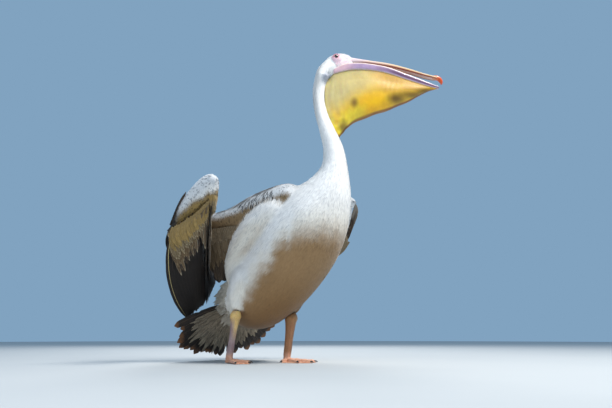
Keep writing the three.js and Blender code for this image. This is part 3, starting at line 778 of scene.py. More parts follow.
class Coat:
    """The finished skin as arrays, from which feathers are planted."""

    def __init__(self, skin, located):
        self.points = plan_points(skin)
        self.normals = normals_of(skin)
        edges, counts = edges_of(skin)
        skin.data.calc_loop_triangles()
        faces = np.empty(len(skin.data.loop_triangles) * 3, np.int32)
        skin.data.loop_triangles.foreach_get("vertices", faces)
        self.faces = faces.reshape(-1, 3)
        self.tree = BVHTree.FromPolygons(self.points.tolist(), self.faces.tolist())
        self.form, self.s, self.t = located
        self.bare = is_bare(self.points)
        self.tint = marking(self.points, self.normals, self.form, self.s, self.t)
        for _ in range(2):
            self.tint = neighbours_mean(self.tint, edges, counts)
        flow = lie_of(self.points, self.normals, self.form, self.s)
        for _ in range(14):
            flow = flow * 0.5 + neighbours_mean(flow, edges, counts) * 0.5
        self.flow = along_skin(flow, self.normals)

    def scatter(self, wanted, gap, rng):
        """Even roots over the faces whose corners are wanted: face numbers and weights of corners."""
        chosen = np.flatnonzero(wanted[self.faces].all(1))
        a, b, c = (self.points[self.faces[chosen, k]] for k in range(3))
        area = np.linalg.norm(np.cross(b - a, c - a), axis=1) / 2
        spacing = gap[self.faces[chosen]].mean(1)
        count = rng.poisson(SCATTER_DENSITY * area / spacing**2)
        face = np.repeat(chosen, count)
        weights = rng.random((len(face), 2))
        over = weights.sum(1) > 1
        weights[over] = 1 - weights[over]
        weights = np.column_stack([1 - weights.sum(1), weights])
        places = (self.points[self.faces[face]] * weights[:, :, None]).sum(1)
        # One root is kept in each cell of a grid that is as fine as the spacing there.
        cell = np.repeat(spacing, count)[:, None] * 0.93
        step = np.exp(np.round(np.log(cell) * 4) / 4)
        cells = np.floor(places / step).astype(np.int64)
        keys = (step[:, 0] * 100).astype(np.int64)
        for axis, key in enumerate(CELL_KEYS):
            keys = keys ^ cells[:, axis] * key
        _, first = np.unique(keys, return_index=True)
        return face[first], weights[first]

    def at(self, values, face, weights):
        mixed = values[self.faces[face]]
        return (mixed * (weights[:, :, None] if mixed.ndim == 3 else weights)).sum(1)


# Shapes of vane: half width at each row from root to tip, as a share of the whole half width.
VANES = {
    "round": [0.45, 0.9, 1.0, 0.72],
    "lance": [0.5, 1.0, 0.75, 0.4],
    "small": [0.7, 1.0],
}
VANE_ARCH = 0.16  # how high the middle of a vane stands, as a share of its half width
ROOT_SINK = 1.0


def spread_of(rng, count, spread, low, high):
    """Random factors round 1, held between two limits."""
    return np.clip(rng.normal(1, spread, count), low, high)


def follow_skin(coat, roots, normals, flow, length, rows):
    """From each root, places over the skin at equal steps, with the ways over and across them."""
    centres, overs, asides = [roots], [normals], [unit(np.cross(normals, flow))]
    place, over, way = roots, normals, flow
    for _ in range(rows):
        place = place + way * (length / rows)[:, None]
        found = [coat.tree.find_nearest(p) for p in place.tolist()]
        # A feather leaves the skin where the skin turns away sharply under it.
        slide = np.array([hit[0] for hit in found]) - place
        furthest = 0.7 * (length / rows) / np.maximum(np.linalg.norm(slide, axis=1), 1e-6)
        place = place + slide * np.minimum(1, furthest)[:, None]
        over = unit(over * 0.5 + coat.normals[coat.faces[[hit[2] for hit in found], 0]] * 0.5)
        step = place - centres[-1]
        way = unit(step - over * (step * over).sum(1)[:, None] * 0.5)
        centres.append(place)
        overs.append(over)
        asides.append(unit(np.cross(over, way)))
    return centres, overs, asides


def plant(name, coat, wanted, gap, length, width, lift, vane, rng, other, often):
    """One mesh of feathers: each follows the skin from its root and rises to its tip. Some of them,
    as often as is said, are tinged with another colour."""
    face, weights = coat.scatter(wanted, gap, rng)
    roots = coat.at(coat.points, face, weights)
    normals = unit(coat.at(coat.normals, face, weights))
    flow = unit(coat.at(coat.flow, face, weights))
    count = len(roots)
    yaw = rng.normal(0, 0.08, count)[:, None]
    flow = unit(flow * np.cos(yaw) + np.cross(normals, flow) * np.sin(yaw))
    length = coat.at(length, face, weights) * spread_of(rng, count, 0.12, 0.7, 1.35)
    width = coat.at(width, face, weights) * spread_of(rng, count, 0.1, 0.75, 1.3) / 2
    lift = coat.at(lift, face, weights) * spread_of(rng, count, 0.25, 0.4, 1.9)
    shape = VANES[vane]
    rows = len(shape)
    centres, overs, asides = follow_skin(coat, roots, normals, flow, length, rows)
    colour = coat.at(coat.tint, face, weights)
    if other is not None:
        amount = (rng.random(count) < often) * rng.uniform(0.5, 1, count)
        colour = colour * mix(np.ones(3), other, amount)
    colour = colour * spread_of(rng, (count, 1), 0.045, 0.75, 1.1)
    layer = rng.random(count)[:, None] * 0.06 * coat.at(gap, face, weights)[:, None]

    def raised(k):
        high = -ROOT_SINK + (lift[:, None] + ROOT_SINK + layer) * (k / rows) ** 0.8
        return centres[k] + overs[k] * high

    points, maps = [], []
    for k, share in enumerate(shape):
        centre = raised(k)
        half = (width * share)[:, None]
        spine = centre + overs[k] * half * VANE_ARCH
        points += [centre - asides[k] * half, spine, centre + asides[k] * half]
        maps += [(x, k / rows) for x in (0.5 - share / 2, 0.5, 0.5 + share / 2)]
    points.append(raised(rows))
    maps.append((0.5, 1.0))
    each = 3 * rows + 1
    base = np.arange(count)[:, None, None] * each
    last = each - 4
    tips = np.array([[last, last + 1, each - 1], [last + 1, last + 2, each - 1]])
    corners = (grid_quads(rows, 3, closed=False), tips)
    faces = [(base + own).reshape(-1, own.shape[1]) for own in corners]
    made = mesh_object(name, np.stack(points, 1).reshape(-1, 3), faces)
    give(made, "tint", "FLOAT_COLOR", np.repeat(colour, each, 0))
    local = np.tile(maps, (count, 1, 1))
    set_uv(made, "OFBake", bake_patches(*lofts.locate(roots), local))
    set_uv(made, "vane", local.reshape(-1, 2))
    return made


BAKE_PATCH = 0.003


def bake_patches(form, s, t, local):
    """Each feather's patch of the bake map, at its root's place on the unrolled forms."""
    forms = np.unique(form)
    cells = math.ceil(math.sqrt(len(forms)))
    place = np.empty((len(form), 2))
    for number, k in enumerate(forms):
        on = form == k
        for axis, values in enumerate((t, s)):
            low, high = values[on].min(), values[on].max()
            place[on, axis] = (values[on] - low) / max(high - low, 1e-6)
        corner = np.array([number % cells, number // cells])
        place[on] = (corner + 0.01 + place[on] * 0.97) / cells
    return (place[:, None] + (local - 0.5) * BAKE_PATCH).reshape(-1, 2)


# ---- Flight feathers ----

FLIGHT_ROWS = 20
COVERT_ROWS = 11
VANE_ACROSS = np.array([-1, -0.72, -0.42, -0.12, 0, 0.12, 0.42, 0.72, 1.0])
SHAFT_SIDES = 4
SHAFT_STOPS = np.linspace(0, 1, 5)
OUTER_SHAFT = rgb("#e3cf8e")
BROWN_SHAFT = rgb("#6d5b48")
PALE_SHAFT = rgb("#cfc2a4")


def vane_grid(feather, shaft, t, along, over, aside, rng):
    """Rows of places across one vane: notched edges, barbs that run forward, and a cupped face."""
    rows = len(t) - 1
    blunt, stem = feather.get("blunt", 0.9), feather.get("stem", 0.15)
    form = np.interp(
        t, [0, 0.06, 0.16, 0.4, 0.75, blunt, 0.97, 1],
        [stem, max(stem, 0.45), 0.8, 1, 1, 0.86, 0.5, 0.12],
    )
    ragged = 1 - 0.06 * rng.random((2, rows + 1))
    if rng.random() < 0.6:
        ragged[rng.integers(2), rng.integers(rows // 2, rows - 1)] = 0.7
    wide = np.where(
        VANE_ACROSS[None] < 0,
        (feather["outer"] * form * ragged[0])[:, None],
        (feather["wide"] * form * ragged[1])[:, None],
    )
    x = VANE_ACROSS[None] * wide
    sweep = np.abs(x) * 0.5 * smooth(1.0, 0.8, t)[:, None]
    cup = -feather.get("cup", 0.1) * x * x / (feather["outer"] + feather["wide"])
    cup += feather.get("tilt", 0) * x + rng.normal(0, 0.25, x.shape) * np.abs(VANE_ACROSS)
    grid = shaft[:, None] + aside[:, None] * x[..., None]
    return grid + along[:, None] * sweep[..., None] + over[:, None] * cup[..., None]


def vane_colours(feather, t, rng):
    """The colour of each place of a vane: its rim, its tip and the down at its root."""
    across = np.ones((1, len(VANE_ACROSS)))
    edge = smooth(0.7, 1.0, np.abs(VANE_ACROSS))[None]
    edge = np.maximum(edge, smooth(0.93, 1.0, t)[:, None])
    tone = 1 + 0.1 * rng.normal(0, 1, (len(t), 1, 1))
    colour = mix(feather["vane"], feather["rim"], feather["rimmed"] * edge) * tone
    if "tip" in feather:
        ending = smooth(0.9, 1.0, t + 0.03 * rng.normal(0, 1, t.shape))
        colour = mix(colour, feather["tip"], ending[:, None] * across)
    return mix(colour, feather["down"], smooth(0.3, 0.0, t)[:, None] * across)


def flight_row(name, feathers, rng, rows=FLIGHT_ROWS):
    """Long separate feathers as one mesh. Each is a dict of its shaft (rows of places), the way across
    it, the way over it, its outer and inner half widths, and its colours."""
    points, tints, quads, maps = [], [], [], []
    across, sides = len(VANE_ACROSS), SHAFT_SIDES
    t = np.linspace(0, 1, rows + 1)
    each = (rows + 1) * (across + sides)
    vane_faces = grid_quads(rows + 1, across, closed=False)
    shaft_faces = grid_quads(rows + 1, sides)
    vane_map = np.stack(np.broadcast_arrays(0.5 + VANE_ACROSS / 2, t[:, None]), 2).reshape(-1, 2)
    shaft_map = np.column_stack([np.full(len(t) * sides, 0.5), np.repeat(t, sides)])
    for number, feather in enumerate(feathers):
        shaft = through(feather["shaft"], rows)
        along = unit(np.gradient(shaft, axis=0))
        over = unit(feather["over"] - along * (along @ feather["over"])[:, None])
        aside = np.cross(along, over)
        aside *= np.sign((aside @ feather["inner"]).sum())
        points.append(vane_grid(feather, shaft, t, along, over, aside, rng).reshape(-1, 3))
        tints.append(vane_colours(feather, t, rng).reshape(-1, 3))
        # The shaft, four sided, standing proud of both faces of the vane.
        radius = feather["quill"] * np.interp(t, [0, 0.3, 1], [1, 0.75, 0.18])[:, None]
        ways = (aside * radius, over * radius * 1.25, -aside * radius, -over * radius * 1.25)
        points.append(np.stack([shaft + way for way in ways], 1).reshape(-1, 3))
        tints.append(np.tile(feather["shaft_tint"], (len(t) * sides, 1)))
        maps += [vane_map, shaft_map]
        base = number * each
        tube = base + (rows + 1) * across
        ends = np.array([[3, 2, 1, 0]]), rows * sides + np.array([[0, 1, 2, 3]])
        quads += [base + vane_faces, tube + shaft_faces, tube + ends[0], tube + ends[1]]
    made = mesh_object(name, np.vstack(points), [np.vstack(quads)])
    give(made, "tint", "FLOAT_COLOR", np.vstack(tints))
    local = np.vstack(maps)
    # Each feather has a strip of the bake map of its own, in the order of the row.
    number = np.repeat(np.arange(len(feathers)), each)
    strip = (number + 0.05 + 0.9 * local[:, 0]) / len(feathers)
    set_uv(made, "OFBake", np.column_stack([strip, 0.02 + 0.96 * local[:, 1]]))
    set_uv(made, "vane", local)
    return made


def row_feathers(roots, tips, count, over, rng, bow=0, sweep=0, stagger=1.2, longer=lambda at: 1.0,
                 start=0.0, raised=0.0, uneven=0.008, splay=0.0, **looks):
    """Feathers whose roots and tips run along two curves; each is set a little over the one before.
    uneven is how much their lengths differ, and splay how far their tips wander sideways."""
    fine = 120
    root_curve, tip_curve = through(roots, fine), through(tips, fine)
    made = []
    for i in range(count):
        at = (i + 0.5) / count
        k = int(at * fine)
        before, after = max(k - 2, 0), min(k + 2, fine)
        root, tip = root_curve[k], tip_curve[k]
        tip = root + (tip - root) * longer(at) * rng.normal(1, uneven)
        root = root + (tip - root) * start
        spread = tip_curve[after] - tip_curve[before] + root_curve[after] - root_curve[before]
        spread = unit(spread)
        normal = unit(np.cross(spread, tip - root))
        over_it = normal * np.sign(normal @ over)
        tip = tip + spread * rng.normal(0, splay) + over_it * abs(rng.normal(0, splay * 0.4))
        shaft = []
        for t in SHAFT_STOPS:
            curved = 4 * t * (1 - t)
            place = root + (tip - root) * t + normal * bow * curved - spread * sweep * curved * (1 - at)
            shaft.append(place + over_it * (raised + stagger * (count / 2 - i)))
        own = {key: value(at) if callable(value) else value for key, value in looks.items()}
        made.append(dict(shaft=np.array(shaft), over=over_it, inner=spread, **own))
    return made


def wing_rows(side):
    """The curves that the roots and tips of each row of flight feathers follow."""
    j, primary_way, wrist_way, elbow_way = wing_ways(side)
    armpit = j["shoulder"] + (j["elbow"] - j["shoulder"]) * 0.4
    wrist_root = j["wrist"] + wrist_way * 90
    elbow_root = j["elbow"] + elbow_way * 60
    return {
        "primaries": (
            [j["finger"] + primary_way * 20, (j["finger"] + j["wrist"]) / 2 + primary_way * 60, wrist_root],
            [j["tip"], j["tip"] * 0.6 + j["inner_tip"] * 0.4, j["inner_tip"]],
        ),
        "secondaries": (
            [wrist_root, (j["wrist"] + j["elbow"]) / 2 + wrist_way * 90, elbow_root],
            [j["inner_tip"], (j["inner_tip"] + j["elbow_tip"]) / 2, j["elbow_tip"]],
        ),
        "tertials": ([elbow_root, armpit + elbow_way * 70], [j["elbow_tip"], armpit + elbow_way * 280]),
    }


DRAB_WHITE = rgb("#a9adb2")
BROWN = rgb("#6a5237")
LOW_START, HIGH_START = 0.02, -0.055
# Tiers of coverts, longest first: the row they lie over, how many, their reach as a share of the
# flight feathers, its fall towards the body, where they start, the height over the wing, the outer
# and inner half widths, vane, rim, and strength of the rim.
UNDER_TIERS = [
    ("primaries", 24, 0.44, 0.2, LOW_START, 8, 6, 8, UMBER, BROWN, 0.9),
    ("primaries", 7, 0.46, 0.14, LOW_START, 11, 5, 6.5, BROWN, rgb("#cdbfa2"), 0.95),
    ("primaries", 30, 0.36, 0.17, LOW_START, 10, 5, 7, BROWN, TAN, 0.8),
    ("primaries", 34, 0.27, 0.13, LOW_START, 13, 5, 6, rgb("#857050"), PALE_TAN, 0.75),
    ("primaries", 40, 0.17, 0.07, HIGH_START, 16, 5, 6, None, None, 0.6),
    ("secondaries", 28, 0.66, 0.0, LOW_START, 8, 6, 8, rgb("#43352a"), rgb("#6b5848"), 0.8),
    ("secondaries", 30, 0.46, 0.0, LOW_START, 11, 5, 7, rgb("#6f5d4e"), rgb("#86756a"), 0.8),
    ("secondaries", 36, 0.3, 0.0, HIGH_START, 13, 5, 6, rgb("#8a765c"), rgb("#a8967a"), 0.7),
    ("tertials", 18, 0.95, 0.0, LOW_START, 9, 8, 10, rgb("#463729"), rgb("#5d4c3b"), 0.6),
    ("tertials", 22, 0.68, 0.0, LOW_START, 13, 7, 9, rgb("#6f5a41"), AXILLA, 0.6),
    ("tertials", 24, 0.44, 0.0, LOW_START, 17, 6, 8, rgb("#75624a"), rgb("#8f7b62"), 0.6),
    ("tertials", 28, 0.22, 0.0, HIGH_START, 20, 6, 7, rgb("#84725a"), rgb("#a4927a"), 0.6),
]
# The vane and rim of the shortest coverts under each hand.
HAND_OCHRE = {RIGHT: (OCHRE, rgb("#b99c60")), LEFT: (rgb("#7b6a50"), rgb("#95846a"))}
OVER_TIERS = [
    ("primaries", 15, 0.42, 0.04, LOW_START, 11, 12, 17, UMBER, BLACK_BROWN, 0.5),
    ("primaries", 17, 0.25, 0.03, LOW_START, 14, 11, 14, BLACK_BROWN, rgb("#6f6c69"), 0.7),
    ("secondaries", 20, 0.5, 0.0, LOW_START, 11, 13, 15, DRAB_WHITE, WHITE, 0.9),
    ("secondaries", 22, 0.3, 0.0, LOW_START, 14, 11, 13, PALE_GREY, WHITE, 0.9),
    ("tertials", 12, 0.62, 0.0, LOW_START, 10, 13, 15, DRAB_WHITE, WHITE, 0.9),
    ("tertials", 14, 0.4, 0.0, LOW_START, 13, 12, 13, PALE_GREY, WHITE, 0.9),
]
TIER_SPLAY = {RIGHT: 4, LEFT: 2}


def covert_tiers(side, tiers, facing, way, rng):
    """Coverts over the bases of the flight feathers, on the face of the wing that faces so."""
    feathers = []
    for row, count, reach, fall, start, raised, outer, wide, vane, rim, rimmed in tiers:
        vane, rim = HAND_OCHRE[side] if vane is None else (vane, rim)
        feathers += row_feathers(
            *wing_rows(side)[row], count, facing, rng, bow=4, sweep=14 * (row == "primaries"),
            stagger=0.4 * way, longer=lambda at: reach - fall * at, start=start / reach,
            raised=raised, uneven=0.1, splay=TIER_SPLAY[side],
            outer=lambda at: outer * rng.uniform(0.75, 1.2), wide=wide, quill=0.55, rim=rim, rimmed=rimmed,
            vane=lambda at: vane * rng.uniform(0.8, 1.15), shaft_tint=mix(vane, PALE_SHAFT, 0.35),
            down=vane, blunt=0.84, stem=0.7,
        )
    return feathers


ALULA_COUNT = 7
# The alula of each wing: how far it stands out, where it starts along the hand in hundredths, its
# colour, how far its first feather and each next one go from that to umber, and its down.
ALULAS = {
    RIGHT: (-7, 46, UMBER, 0, 0, UMBER),
    LEFT: (21, 14, rgb("#a09485"), 0.06, 0.15, rgb("#c9c4bc")),
}


def alula_feathers(side):
    """Stiff feathers that lie along the leading edge of the hand."""
    j = wing_ways(side)[0]
    under = under_way(side)
    middle = (j["wrist"] + j["finger"]) / 2 + vec(20 * side, 4, 40)
    edge = through([j["wrist"] + vec(0, -8, 36), middle, j["finger"]], 100)
    outward = unit(vec(side, -side, 0))
    bulge, begin, vane, dark, darker, down = ALULAS[side]
    feathers = []
    for k in range(ALULA_COUNT):
        first = begin + 5 * k
        last = min(first + 58, 96 + k // 2)
        rise = bulge * (1 - 0.1 * k)
        shaft = [
            edge[int(first + (last - first) * t)] + outward * (rise * math.sin(math.pi * (0.1 + 0.72 * t)))
            for t in SHAFT_STOPS
        ]
        feathers.append(dict(
            shaft=np.array(shaft), over=unit(outward - under), inner=-under, outer=7, wide=12, quill=1.2,
            vane=mix(vane, UMBER, dark + darker * k), rim=rgb("#5d5248"), rimmed=0.3,
            shaft_tint=BROWN_SHAFT, down=down,
        ))
    return feathers


def make_flight_feathers(side, rng):
    name = SIDE_NAMES[side]
    rows = wing_rows(side)
    under = under_way(side)
    dark = dict(
        vane=DARK_BROWN, rim=BLACK_BROWN, rimmed=0.4, tilt=0.05,
        down=rgb("#6f5d49"), shaft_tint=BROWN_SHAFT,
    )
    primaries = row_feathers(
        *rows["primaries"], 10, under, rng, bow=12, sweep=42, stagger=1.5, start=-0.03,
        outer=lambda at: 12 + 5 * at, wide=lambda at: 32 - 4 * at, quill=lambda at: 2.3 - 0.7 * at,
        vane=lambda at: mix(BLACK_BROWN, DARK_BROWN, 0.4 + 0.6 * at), rim=BLACK_BROWN, rimmed=0.6, tilt=0.05,
        down=rgb("#57493a"), shaft_tint=lambda at: mix(OUTER_SHAFT, BROWN_SHAFT, smooth(0.0, 0.16, at)),
    )
    secondaries = row_feathers(
        *rows["secondaries"], 14, under, rng, bow=6, stagger=1.0, start=-0.03, outer=19, wide=26,
        quill=1.5, blunt=0.94, **dark,
    )
    tertials = row_feathers(
        *rows["tertials"], 8, under, rng, bow=5, stagger=1.2, start=-0.05, outer=21, wide=27,
        quill=1.4, blunt=0.92, **dark,
    )
    for row, feathers in (("primaries", primaries), ("secondaries", secondaries), ("tertials", tertials)):
        made = flight_row(f"wing_{name}_{row}_vanes", feathers, rng)
        finish_piece(made, flight_material(), "feathers_dark", f"wing_{name}_{row}")
    below = covert_tiers(side, UNDER_TIERS, under, 1, rng)
    above = covert_tiers(side, OVER_TIERS, -under, -1, rng)
    made = flight_row(f"wing_{name}_alula", alula_feathers(side), rng)
    finish_piece(made, flight_material(), "feathers_dark")
    for layer, feathers in (("under", below), ("over", above)):
        made = flight_row(f"wing_{name}_{layer}_coverts", feathers, rng, COVERT_ROWS)
        finish_piece(made, covert_material(), "feathers_coverts")


# Flank plumes: the curves of their roots and tips on the left side, and each layer's share of the
# full length, height over the flank and paleness, which is painted light: the lower layers are painted in
# shade.
PLUME_ROOTS = [(92, 82, 346), (100, 64, 322), (106, 42, 292), (102, 22, 252)]
PLUME_TIPS = [(90, 190, 286), (104, 182, 238), (114, 150, 202), (108, 102, 178)]
PLUME_COUNT = 24
PLUME_LAYERS = [(1.0, -6, 0.0), (0.82, -2, 0.25), (0.62, 2, 0.5), (0.42, 6, 0.75)]


def make_plumes(side, rng):
    """Long soft plumes that run back from the flank over the side of the tail."""
    roots, tips = ([vec(side * x, y, z) for x, y, z in row] for row in (PLUME_ROOTS, PLUME_TIPS))
    over = vec(side, 0.2, 0.3)
    plumes = []
    for share, raised, pale in PLUME_LAYERS:
        # Painted shade: the lower layers are painted a darkened grey beige, the upper ones paler, as if lit.
        vane = mix(TAIL_SHADED_BEIGE * 0.8, IVORY, 0.7 * pale)
        plumes += row_feathers(
            roots, tips, PLUME_COUNT, over, rng, bow=10, stagger=0.3, longer=lambda at: share, raised=raised,
            uneven=0.1, splay=5, outer=9, wide=10, quill=0.6, vane=lambda at: vane * rng.uniform(0.9, 1.08),
            rim=mix(vane, WHITE, 0.3), rimmed=0.5, cup=0.25, shaft_tint=PALE_SHAFT, down=vane, blunt=0.78,
            stem=0.7,
        )
    made = flight_row(f"flank_{SIDE_NAMES[side]}_plumes", plumes, rng, COVERT_ROWS)
    finish_piece(made, covert_material(), "feathers_coverts")


TAIL_COUNT = 22
# Tail coverts on each face: how many, spread as a share of the fan, start, end, height.
TAIL_TIERS = [
    (36, 0.9, 96, 236, 9), (38, 0.86, 76, 205, 14), (36, 0.8, 50, 170, 19), (32, 0.72, 26, 138, 24),
    (26, 0.6, -8, 104, 29),
]


def across_fan(count):
    """Places from -1 to 1 for so many feathers, side by side over the fan."""
    return (2 * np.arange(count) + 1) / count - 1


def tail_feather(angle, near, far, high, **looks):
    """A feather of the fan: its angle from the middle, where it starts and ends, and its height."""
    lift = 5 if high > 0 else -5
    shaft = [tail_point(angle, near + (far - near) * t, high + lift * t * (1 - t)) for t in SHAFT_STOPS]
    aside = unit(tail_point(angle + 0.03, far, 0) - tail_point(angle - 0.03, far, 0))
    return dict(
        shaft=np.array(shaft), over=TAIL_OVER * (1 if high > -8 else -1),
        inner=aside * (np.sign(-angle) or 1), **looks,
    )


def make_tail(rng):
    """The fan of tail feathers, the middle pair on top, and the long soft coverts above and below it."""
    fan = math.radians(TAIL_FAN)
    feathers = []
    for i, s in enumerate(across_fan(TAIL_COUNT)):
        angle = fan * (s + rng.normal(0, 0.012))
        length = TAIL_LENGTH * (0.93 + 0.08 * abs(s)) * rng.normal(1, 0.03)
        high = 5 - 1.1 * abs(i + 0.5 - TAIL_COUNT / 2)
        feathers.append(tail_feather(
            angle, 30, min(length, TAIL_LENGTH * 1.02), high, outer=19, wide=22, quill=1.5, tilt=-0.04,
            blunt=0.94, vane=DARK_BROWN, rim=BLACK_BROWN, rimmed=0.5, down=TAIL_SHADED_BEIGE,
            shaft_tint=BROWN_SHAFT, tip=rgb("#8a5c38"),
        ))
    made = flight_row("tail_vanes", feathers, rng)
    finish_piece(made, flight_material(), "feathers_dark", "tail_feathers")
    coverts = []
    # Painted light and shade: the coverts are painted a shaded grey beige, and those over the fan 1.15 times
    # brighter, with a paler rim, than those under it.
    for face, light, rim in ((1, 1.15, rgb("#b3a48e")), (-1, 1, rgb("#96866f"))):
        for count, spread, near, far, high in TAIL_TIERS:
            for s in across_fan(count):
                grey = mix(rgb("#6f6150"), rgb("#9a8a74"), rng.random()) * light
                angle = fan * spread * (s + rng.normal(0, 0.02))
                end = far * rng.normal(1, 0.05) * (1 - 0.1 * s * s)
                coverts.append(tail_feather(
                    angle, near, end, face * high, outer=9, wide=10, quill=0.7, cup=0.25, blunt=0.8,
                    vane=mix(grey, IVORY, smooth(26, 31, high)), rim=rim, rimmed=0.6, stem=0.7,
                    down=TAIL_SHADED_BEIGE, shaft_tint=PALE_SHAFT,
                ))
    made = flight_row("tail_covert_vanes", coverts, rng, COVERT_ROWS)
    finish_piece(made, covert_material(), "feathers_coverts")


# ---- Shells drawn out ring by ring ----

def drawn_out(name, stations, section, place, around=24, smooth_levels=1):
    """A closed shell: a ring is added, shaped to the section, and extruded from station to station.
    Each station is x, y, z, half width and half height. place then moves it into the plan."""
    x, y, z, wide, high = stations[0]
    bpy.ops.mesh.primitive_circle_add(vertices=around, radius=1, fill_type="NGON")
    made = bpy.context.object
    made.name = made.data.name = name
    across, upward = section(np.arange(around) * 2 * math.pi / around)
    for vert, dy, dz in zip(made.data.vertices, across, upward):
        vert.co = (x, y + wide * dy, z + high * dz)
    bpy.ops.object.mode_set(mode="EDIT")
    bpy.ops.mesh.select_all(action="SELECT")
    for row in stations[1:]:
        step = (row[0] - x, row[1] - y, row[2] - z)
        bpy.ops.mesh.extrude_region_move(TRANSFORM_OT_translate={"value": step})
        scale = (1, row[3] / wide, row[4] / high)
        x, y, z, wide, high = row
        bpy.ops.transform.resize(value=scale, center_override=(x, y, z))
    bpy.ops.object.mode_set(mode="OBJECT")
    face_outwards(made)
    apply(made, "SUBSURF", levels=smooth_levels, render_levels=smooth_levels)
    made.data.shade_smooth()
    keep_own_place(made)
    made.data.transform(PLAN_TO_FRAME @ place)
    return made


def face_outwards(obj, merge=0.0):
    only(obj)
    bpy.ops.object.mode_set(mode="EDIT")
    bpy.ops.mesh.select_all(action="SELECT")
    if merge:
        bpy.ops.mesh.remove_doubles(threshold=merge)
    bpy.ops.mesh.normals_make_consistent(inside=False)
    bpy.ops.object.mode_set(mode="OBJECT")


def joined(objects):
    only(*objects)
    bpy.ops.object.join()
    return objects[0]


def keep_own_place(obj, size=1):
    """Remembers each vertex's place before the piece is moved, for its material."""
    give(obj, "own_place", "FLOAT_VECTOR", np.array([v.co for v in obj.data.vertices]) / size)


def own_places(obj):
    return numbers_of(obj.data.attributes["own_place"].data, "vector")


def fuller(wave, power):
    """A sine or cosine with its sides filled out by a power under 1."""
    return np.sign(wave) * np.abs(wave) ** power


def bag_section(a):
    return fuller(np.cos(a), 0.87), fuller(np.sin(a), 0.87)


def claw_section(a):
    return np.cos(a), np.sin(a)


def bill_section(a):
    """A flat-topped bill with a ridge along its middle, a groove beside it and sharp lower edges."""
    across = fuller(np.cos(a), 0.7)
    high = np.abs(np.sin(a)) ** 0.7
    ridge, groove = bell(across, 0.3), bell(np.abs(across) - 0.5, 0.14)
    top = high * (0.56 + 0.44 * ridge - 0.12 * groove)
    bottom = -high * (0.5 + 0.5 * smooth(0.45, 0.9, np.abs(across)))
    return across, np.where(np.sin(a) >= 0, top, bottom)


def jaw_section(a):
    """A flat band with a rounded rib along each edge."""
    return np.cos(a) * (0.72 + 0.28 * np.abs(np.sin(a)) ** 3), fuller(np.sin(a), 0.8)


# The upper bill narrows to a blunt end inside the nail.
BILL_END = [(392, -91, -100, 10), (396, -93, -99, 4)]
NAIL = [
    (374, 0, -91, 8, 5.5), (386, 0, -92.5, 11.5, 8.8), (399, 0, -97, 10.5, 9),
    (406.5, 0, -106, 8, 8), (409, 0, -115, 5.5, 5.5), (408, 0, -122, 2.2, 2.2),
]


def make_upper_bill():
    rows = profile(MAXILLA + BILL_END, 44)
    upper = drawn_out("upper_bill", rows.tolist(), bill_section, HEAD_PLACE, 40)
    u, v, w = own_places(upper).T
    half, deep, middle = (np.interp(u, rows[:, 0], rows[:, k]) for k in (3, 4, 2))
    cutting = smooth(0.45, 0.85, np.abs(v) / half) * smooth(-0.05, -0.5, (w - middle) / deep)
    edge = cutting * smooth(55, 130, u) * (0.75 + 0.25 * smooth(150, 260, u))
    give(upper, "edge", "FLOAT", edge)
    finish_piece(upper, bill_material(), "horn_bill", "bill_upper")


def make_nail():
    rows = through(NAIL, 26)
    along = unit(np.gradient(rows[:, :3], axis=0))
    aside = vec(0, 1, 0)
    rings = ringed(rows[:, :3], rows[:, 3:4] * aside, rows[:, 4:5] * np.cross(along, aside), 28)
    count, around = rings.shape[:2]
    caps = np.array([np.arange(around)[::-1], (count - 1) * around + np.arange(around)])
    own = rings.reshape(-1, 3)
    nail = mesh_object("nail", in_head(own), [grid_quads(count, around), caps])
    give(nail, "own_place", "FLOAT_VECTOR", own)
    face_outwards(nail)
    finish_piece(nail, nail_material(), "horn_nail", "bill_nail")


def make_lower_jaw():
    sides = []
    for side in SIDE_NAMES:
        rows = through([(u, side * v, w, thick, high) for u, w, v, high, thick in RAMUS], 36)
        sides.append(drawn_out("lower_jaw", rows.tolist(), jaw_section, HEAD_PLACE))
    lower = joined(sides)
    give(lower, "tint", "FLOAT_COLOR", jaw_tint(lower))
    finish_piece(lower, jaw_material(), "horn_bill", "bill_lower")


JAW_LILAC = rgb("#b096b8")
JAW_EDGE = rgb("#ecd9cf")
JAW_PINK = rgb("#d9b3bd")
JAW_DARK = rgb("#4a2145")


def jaw_tint(obj):
    """The lower jaw's colours: pale ribs above and below a lilac band, darker towards the tip."""
    u, _, w = own_places(obj).T
    rows = through([(u, w, 0, high) for u, w, _, high, _ in RAMUS], 60)
    height = (w - np.interp(u, rows[:, 0], rows[:, 1])) / np.interp(u, rows[:, 0], rows[:, 3])
    band = mix(JAW_PINK, JAW_LILAC, smooth(20, 90, u))
    band = mix(band, JAW_DARK, 0.92 * smooth(120, 250, u) * smooth(0.75, 0.25, np.abs(height + 0.05)))
    band = mix(band, JAW_EDGE, smooth(0.5, 0.85, height))
    return mix(band, JAW_EDGE * 0.86, smooth(-0.72, -0.92, height))


POUCH_CREAM = rgb("#dbc884")
POUCH_YELLOW = rgb("#e8bd2c")
POUCH_GLOW_GOLD = rgb("#ffc800")
POUCH_LEMON = rgb("#f6e23c")
POUCH_AMBER = rgb("#dba33c")
POUCH_RIM_AND_JAW_SHADOW = rgb("#8a4f0c")
POUCH_DARK_BROWN = rgb("#5b3c08")
# Dark brown blotches on each side: u, w, reach forward, reach downward, strength.
POUCH_BLOTCHES = [
    (60, -196, 15, 20, 0.72), (222, -184, 36, 19, 0.85), (285, -168, 72, 13, 0.7), (340, -150, 50, 12, 0.7),
    (240, -148, 90, 14, 0.25),
]


